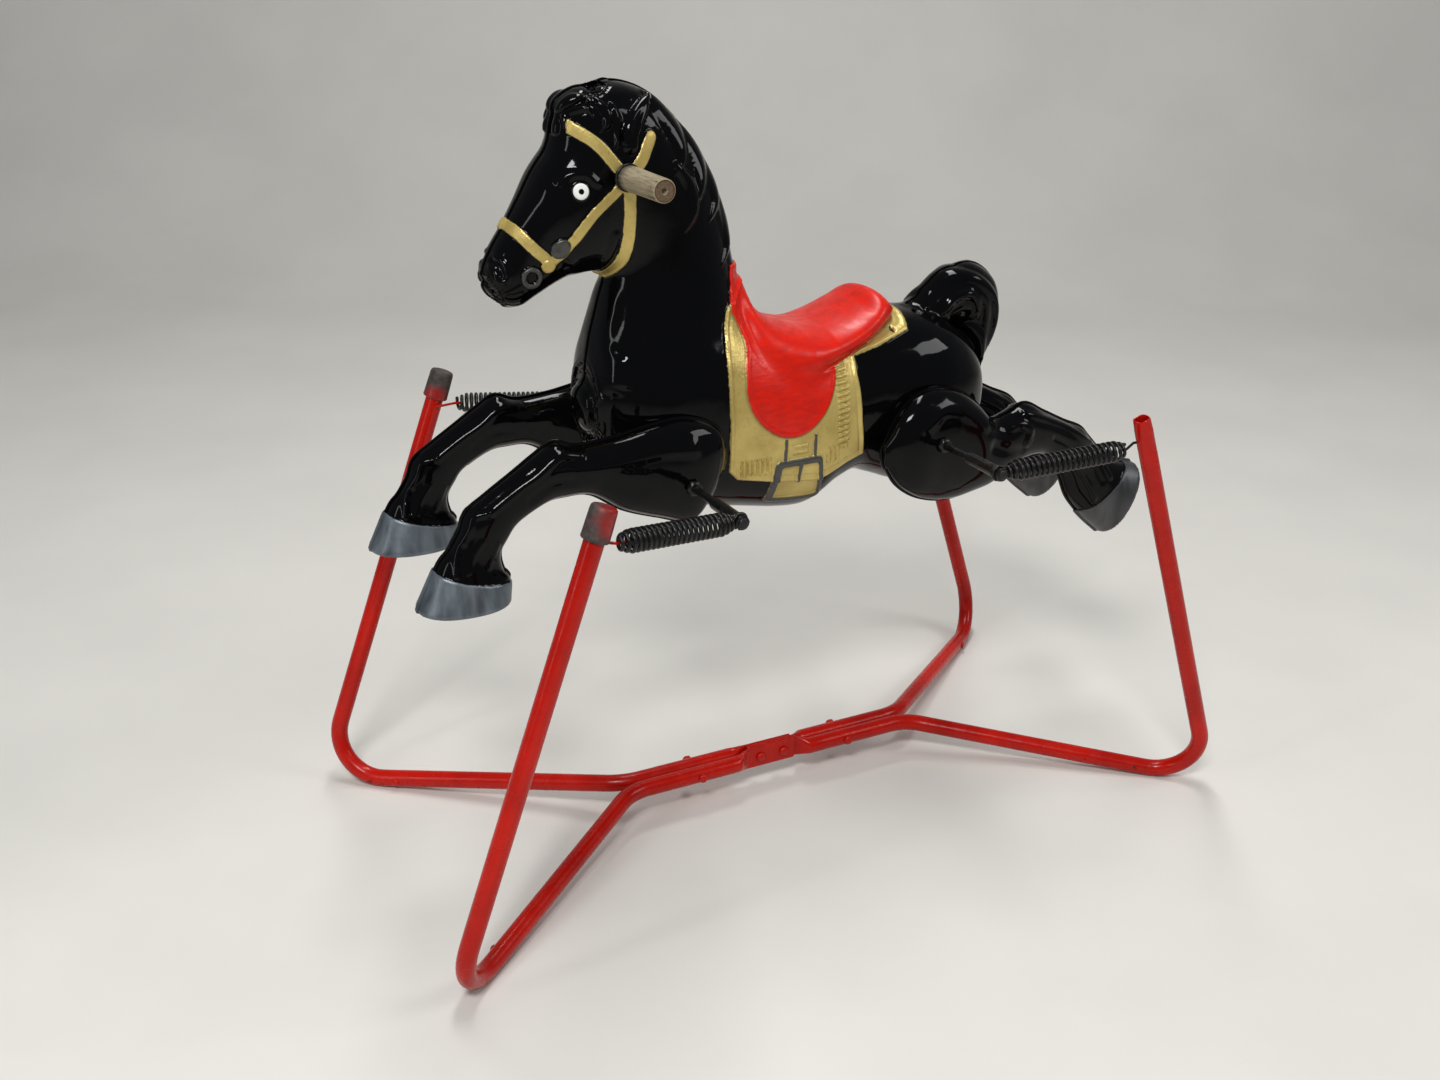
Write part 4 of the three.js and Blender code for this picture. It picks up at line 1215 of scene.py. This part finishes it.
def rgb(red, green, blue):
    """A colour given as it is seen, 0 to 255, as the linear one the shader takes."""
    seen = [c / 255 for c in (red, green, blue)]
    return (*[((c + 0.055) / 1.055) ** 2.4 if c > 10 / 255 else c / 12.92 for c in seen], 1)


BLACK_PAINT, GOLD_PAINT, GOLD_DARK = rgb(5, 5, 6), rgb(202, 180, 106), rgb(122, 100, 50)
RED_PAINT, RED_DEEP, STEEL_GREY = rgb(212, 26, 3), rgb(184, 17, 2), rgb(76, 76, 72)
TUBE_RED, TUBE_DEEP, RUST = rgb(188, 20, 4), rgb(154, 11, 2), rgb(58, 34, 24)


def horse_look():
    """Black enamel with brushed gold, red and pewter paint, laid on by the distances kept in the mesh."""
    look = Look("horse_paint")
    wobble = look.spread(look.noise(160, 2), 0.3, 0.7, -0.35, 0.35)
    gold_d = look.mask("gold", 0.35, wobble)
    red_d = look.mask("saddle", 0.35, wobble)
    metal = look.mask("metal", 0.3)
    girth = look.mask("girth", 0.3, wobble)
    white = look.mask("eye", 0.3)
    pupil = look.mask("pupil", 0.25)
    slot = look.mask("slot", 0.3)
    patches = look.noise(34, 5, 0.62)
    grime = look.noise(240, 4, 0.7)
    gold = look.mix(look.spread(patches, 0.35, 0.72), GOLD_PAINT, rgb(172, 149, 80))
    gold = look.mix(look.spread(grime, 0.62, 0.78), gold, GOLD_DARK)
    strokes = look.noise(60, 4, 0.6, look.stretched((1.0, 1.0, 3.2), (0, 0.5, 0)))
    red = look.mix(look.spread(strokes, 0.35, 0.7), RED_PAINT, RED_DEEP)
    colour = look.mix(gold_d, BLACK_PAINT, gold)
    colour = look.mix(girth, colour, STEEL_GREY)
    colour = look.mix(look.mask("saddle", 2.6), colour, BLACK_PAINT)       # painted shadow: a dark band just outside the flap's raised edge
    colour = look.mix(red_d, colour, red)
    colour = look.mix(metal, colour, look.mix(look.spread(grime, 0.5, 0.8), STEEL_GREY, rgb(44, 43, 41)))
    colour = look.mix(white, colour, rgb(232, 232, 228))
    colour = look.mix(pupil, colour, BLACK_PAINT)
    # painted shade: the slot is pressed in only a little and coloured near-black for the dark inside its
    # hole
    colour = look.mix(slot, colour, rgb(16, 12, 10))
    rough = look.spread(look.noise(18, 4), 0.3, 0.75, 0.035, 0.1)
    rough = look.mix_value(gold_d, rough, look.spread(grime, 0.3, 0.8, 0.3, 0.46))
    rough = look.mix_value(red_d, rough, look.spread(strokes, 0.3, 0.7, 0.26, 0.42))
    rough = look.mix_value(metal, rough, 0.36)
    rough = look.mix_value(white, rough, 0.3)
    shine = look.mix_value(gold_d, 0.0, 0.42)
    shine = look.mix_value(red_d, shine, 0.0)
    shine = look.mix_value(metal, shine, 0.5)
    look.set(Base_Color=colour, Roughness=rough, Metallic=shine)
    look.set(Specular_IOR_Level=look.mix_value(red_d, look.mix_value(gold_d, 0.15, 0.5), 0.3))
    waves = look.bump(look.noise(26, 2, 0.4), 0.0011)
    painted = look.mix_value(red_d, look.mix_value(gold_d, 0.5, look.noise(420, 3)), strokes)
    look.set(Normal=look.bump(painted, 0.00045, 0.8, waves))
    return look.material


def leg_look(name, front, pale):
    """Black enamel, with the hoof brushed in two greys."""
    look = Look(name)
    wobble = look.spread(look.noise(120, 3), 0.3, 0.7, -0.25, 0.25)
    hoof = look.mask("hoof", 0.35, wobble)
    streaks = look.noise(80, 4, 0.5, look.stretched((1.0, 1.0, 0.05)))
    cloudy = look.noise(40, 3)
    silver = look.mix(look.spread(streaks, 0.3, 0.72), front, pale)
    silver = look.mix(look.spread(cloudy, 0.6, 1.0), silver, rgb(62, 66, 70))
    look.set(Base_Color=look.mix(hoof, BLACK_PAINT, silver), Metallic=look.mix_value(hoof, 0.0, 0.55))
    gloss = look.spread(look.noise(18, 4), 0.3, 0.75, 0.035, 0.1)
    look.set(Roughness=look.mix_value(hoof, gloss, look.spread(streaks, 0.3, 0.7, 0.3, 0.46)))
    look.set(Specular_IOR_Level=look.mix_value(hoof, 0.15, 0.5))
    waves = look.bump(look.noise(26, 2, 0.4), 0.0011)
    look.set(Normal=look.bump(look.mix_value(hoof, 0.5, streaks), 0.0004, 0.7, waves))
    return look.material


def tube_look():
    """Deep red enamel, mottled, and chipped to rust, most of all near the floor."""
    look = Look("tube_enamel")
    cloudy, fine = look.noise(14, 4), look.noise(210, 4, 0.65)
    height = look.node("ShaderNodeSeparateXYZ", {"Vector": look.place}).outputs["Z"]
    low = look.spread(height, 0.03, 0.0)
    chips = look.noise(95, 5, 0.7)
    near_floor = look.maths("ADD", chips, look.maths("MULTIPLY", low, 0.2))
    chipped = look.spread(near_floor, 0.735, 0.765)
    red = look.mix(look.spread(cloudy, 0.35, 0.7), TUBE_RED, TUBE_DEEP)
    red = look.mix(look.spread(fine, 0.64, 0.8), red, rgb(140, 14, 10))
    look.set(Base_Color=look.mix(chipped, red, RUST))
    rough = look.spread(look.noise(50, 4), 0.3, 0.75, 0.18, 0.34)
    look.set(Roughness=look.mix_value(chipped, rough, 0.75), Specular_IOR_Level=0.25)
    skin_waves = look.bump(look.noise(60, 3), 0.0006, 0.7)
    look.set(Normal=look.bump(chipped, -0.0003, 0.8, skin_waves))
    return look.material


def rubber_look(name, red_place, red_reach):
    """Grey-black rubber with red paint rubbed off round one side."""
    look = Look(name)
    away = look.node("ShaderNodeVectorMath", {0: look.place, 1: red_place}, operation="DISTANCE")
    patch = look.maths("ADD", look.spread(away.outputs["Value"], 0.0, 2 * red_reach),
                       look.spread(look.noise(70, 5, 0.7), 0.3, 0.7, -0.12, 0.12))
    red = look.spread(patch, 0.68, 0.36)
    dust = look.noise(150, 5, 0.7)
    rubber = look.mix(look.spread(dust, 0.4, 0.75), rgb(46, 38, 36), rgb(84, 74, 68))
    paint = look.mix(look.spread(dust, 0.45, 0.7), rgb(146, 17, 12), rgb(96, 18, 14))
    look.set(Base_Color=look.mix(red, rubber, paint))
    look.set(Roughness=look.mix_value(red, look.spread(dust, 0.3, 0.8, 0.6, 0.85), 0.35))
    look.set(Normal=look.bump(look.noise(300, 4), 0.0004, 0.7))
    return look.material


def satin_look():
    """Black satin steel, with brown dust and wear in specks."""
    look = Look("satin_steel")
    dust, worn = look.noise(180, 5, 0.65), look.noise(420, 3, 0.6)
    base = look.mix(look.spread(dust, 0.5, 0.85), rgb(14, 14, 15), rgb(42, 38, 34))
    look.set(Base_Color=look.mix(look.spread(worn, 0.7, 0.82), base, rgb(74, 62, 50)))
    look.set(Metallic=0.3, Roughness=look.spread(dust, 0.3, 0.8, 0.26, 0.5))
    look.set(Normal=look.bump(worn, 0.0002, 0.6))
    return look.material


def wood_look():
    """Old grey wood: the sides are weathered, the end grain is brown with a dark hole."""
    look = Look("grip_wood")
    parts = look.node("ShaderNodeSeparateXYZ", {"Vector": look.place}).outputs
    dx = look.maths("SUBTRACT", parts["X"], GRIP_X * MM)
    dz = look.maths("SUBTRACT", parts["Z"], GRIP_Z * MM)
    radius = look.maths("SQRT", look.maths("ADD", look.maths("MULTIPLY", dx, dx),
                                           look.maths("MULTIPLY", dz, dz)), 0.0)
    out = look.maths("ABSOLUTE", parts["Y"], 0.0)
    end = look.spread(out, (GRIP_OUT - 0.9) * MM, (GRIP_OUT - 0.3) * MM)
    grain = look.noise(90, 6, 0.7, look.stretched((6.0, 0.35, 6.0)))
    lines = look.noise(230, 4, 0.6, look.stretched((4.0, 0.12, 4.0)))
    side = look.mix(look.spread(grain, 0.3, 0.7), rgb(166, 155, 128), rgb(118, 106, 84))
    side = look.mix(look.spread(lines, 0.57, 0.66), side, rgb(70, 60, 46))
    near_washer = look.spread(look.maths("ADD", out, look.spread(grain, 0.3, 0.7, -0.006, 0.006)),
                              (GRIP_IN + 14) * MM, (GRIP_IN + 2) * MM)
    side = look.mix(near_washer, side, rgb(52, 46, 42))
    rings = look.node("ShaderNodeMath", {0: look.maths("MULTIPLY", radius, 5200.0)}, operation="SINE")
    face = look.mix(look.spread(rings.outputs[0], -1, 1), rgb(84, 42, 16), rgb(54, 26, 10))
    cracks = look.noise(160, 4, 0.7)
    face = look.mix(look.spread(cracks, 0.52, 0.6), face, rgb(30, 19, 14))
    rim = look.spread(radius, 0.0093, 0.0102)
    face = look.mix(rim, face, rgb(150, 138, 112))
    hole = look.spread(radius, 0.0036, 0.003)
    face = look.mix(hole, face, rgb(18, 12, 10))
    look.set(Base_Color=look.mix(end, side, face), Roughness=0.78, Specular_IOR_Level=0.2)
    look.set(Normal=look.bump(look.maths("ADD", grain, lines), 0.0006, 0.8))
    return look.material


def plain_look(name, colour, rough):
    look = Look(name)
    tone = look.noise(3, 4)
    near = tuple(c * 0.94 for c in colour[:3]) + (1,)
    look.set(Base_Color=look.mix(look.spread(tone, 0.3, 0.7), near, colour))
    look.set(Roughness=look.spread(tone, 0.3, 0.7, rough, rough + 0.1))
    return look.material


# ------------------------------------------------------------------ floor and backdrop
SWEEP_RUN, SWEEP_R, FLOOR_BACK, FLOOR_HALF, WALL_TOP, FLOOR_DROP = 2.2, 1.2, 6.0, 7.0, 5.0, 0.0003


def add_floor(look):
    """A pale floor that sweeps up into a backdrop behind the horse."""
    away = unit(np.array((-CAMERA_PLACE[0] * 0.9, -CAMERA_PLACE[1])))
    across = np.array((-away[1], away[0]))
    rows = [(-FLOOR_BACK, 0.0), (SWEEP_RUN, 0.0)]
    rows += [(SWEEP_RUN + SWEEP_R * math.sin(t), SWEEP_R - SWEEP_R * math.cos(t))
             for t in np.linspace(0.1, math.pi / 2, 14)]
    rows.append((SWEEP_RUN + SWEEP_R, WALL_TOP))
    vertices, faces = [], []
    for run, z in rows:
        for side in (-FLOOR_HALF, FLOOR_HALF):
            x, y = away * run + across * side
            vertices.append((x, y, z - FLOOR_DROP))
    for i in range(len(rows) - 1):
        faces.append((2 * i, 2 * i + 1, 2 * i + 3, 2 * i + 2))
    floor = add_object("floor", vertices, faces)
    floor.data.shade_smooth()
    floor.data.materials.append(look)


# ------------------------------------------------------------------ build
BODY_PITCH, BODY_LIP = 2.0, (1.4, 1.1)      # the mesh's cells, and the seam lip's width and thickness
LEG_PITCH, LEG_LIP = 1.8, (2.2, 1.2)
BODY_ZONES = [(-330, -50, 600, 805), (-105, 70, 355, 530)]      # finer cells at the head and the girth
FRONT_BORE, REAR_BORE = (BARS["front"][0], BAR_Z, BAR_BORE), (BARS["rear"][0], BAR_Z, BAR_BORE)


def body_paint(x, y, z):
    keep = ("saddle", "gold", "metal", "girth", "eye", "pupil", "slot")
    zones = masks(x, y, z)
    return {name: zones[name] for name in keep}


def build_body(look):
    bores = [FRONT_BORE, REAR_BORE]
    half = half_shell(with_bores(body_distance, bores), body_relief, body_paint,
                      (BODY_LOW[0], -4, BODY_LOW[1]), (BODY_HIGH[0], 92, BODY_HIGH[1]), BODY_PITCH,
                      BODY_ZONES, BODY_LIP, bores)
    for side in ("left", "right"):
        piece = shell_piece(f"body_{side}", half, side == "left")
        finish_piece(piece, "horse", "horse_black", look, f"body_shell_{side}")
    half.free()


LEGS = {
    "front": (FRONT_LEG, (-460, 310), (-90, 505), 0.0, FRONT_RIDGES, FRONT_HOLLOWS, FRONT_HOOF, FRONT_BORE),
    "rear": (REAR_LEG, (60, 235), (480, 505), REAR_TAPER, REAR_RIDGES, REAR_HOLLOWS, REAR_HOOF, REAR_BORE)}
HOOF_GREYS = {"front": (rgb(76, 84, 90), rgb(118, 127, 134)), "rear": (rgb(60, 61, 62), rgb(88, 89, 91))}


def build_legs():
    """Each half is built once for the right leg, its inner half turned over, then mirrored to the left."""
    for end, (table, low, high, taper, ridges, hollows, hoof, bore) in LEGS.items():
        form = Form(table, low, high, square=2.3, domes=(0.45, 0.14))
        look = leg_look(f"leg_paint_{end}", *HOOF_GREYS[end])
        for half_name, way in (("outer", 1), ("inner", -1)):
            half = half_shell(leg_field(form, taper, way, [bore]), leg_relief(ridges, hollows, hoof),
                              leg_paint(hoof), (low[0], -4, low[1]), (high[0], 38, high[1]), LEG_PITCH,
                              (), LEG_LIP, [bore])
            for v in half.verts:
                v.co.y *= way
            if way < 0:
                bmesh.ops.reverse_faces(half, faces=half.faces)
            for side in ("left", "right"):
                piece = shell_piece(f"{end}_leg_{side}_{half_name}", half, side == "left",
                                    lambda x: LEG_PLANE - taper * (x - REAR_AXLE))
                finish_piece(piece, "horse", "horse_black", look, f"leg_{end}_{side}_{half_name}")
            half.free()


CAP_PAINT = {"left": (0.016, -0.008, -0.006), "right": (-0.013, -0.010, -0.022)}    # metres from its top
CAP_PAINT_REACH = {"left": 0.022, "right": 0.013}
enamel, satin = tube_look(), satin_look()
build_body(horse_look())
build_legs()
for end in BARS:
    for side in ("left", "right"):
        stand_tube(end, side, enamel)
        foot_stud(end, side, enamel)
        if (end, side) != ("rear", "left"):
            place = turned_side(TOP, end == "rear", side == "right") * MM
            post_cap(end, side, rubber_look(f"cap_rubber_{end}_{side}", tuple(place + CAP_PAINT[side]),
                                            CAP_PAINT_REACH[side]))
    foot_bar(end, satin)
LAP_REACH, CROSS_REACH = 2 * LAP_T + 0.45, 2 * TUBE_R + 0.15
for name, x, reach in (("lap_front", -15, LAP_REACH), ("lap_rear", 15, LAP_REACH),
                       ("cross_front", -95, CROSS_REACH), ("cross_rear", 95, CROSS_REACH)):
    spine_bolt(name, x, reach, enamel)
springs(satin, enamel)
grips(wood_look(), satin)

add_floor(plain_look("pale_floor", rgb(224, 221, 214), 0.5))
add_camera()
world = bpy.data.worlds.new("studio")
bpy.context.scene.world = world
world.use_nodes = True
world.node_tree.nodes["Background"].inputs["Color"].default_value = rgb(206, 210, 216)
world.node_tree.nodes["Background"].inputs["Strength"].default_value = 0.28
bpy.context.scene.view_settings.view_transform = "Standard"
area_light("key", (-1.5, -1.9, 2.7), (0, 0, 0.5), (0.9, 0.5), 62)
area_light("fill", (2.2, -1.6, 2.2), (0, 0, 0.5), (1.4, 0.8), 24)
area_light("top", (0.2, 0.5, 3.0), (0, 0, 0.5), (0.4, 2.0), 42)
area_light("strip", (-2.3, -0.5, 1.1), (-0.1, 0, 0.55), (0.18, 1.5), 6)
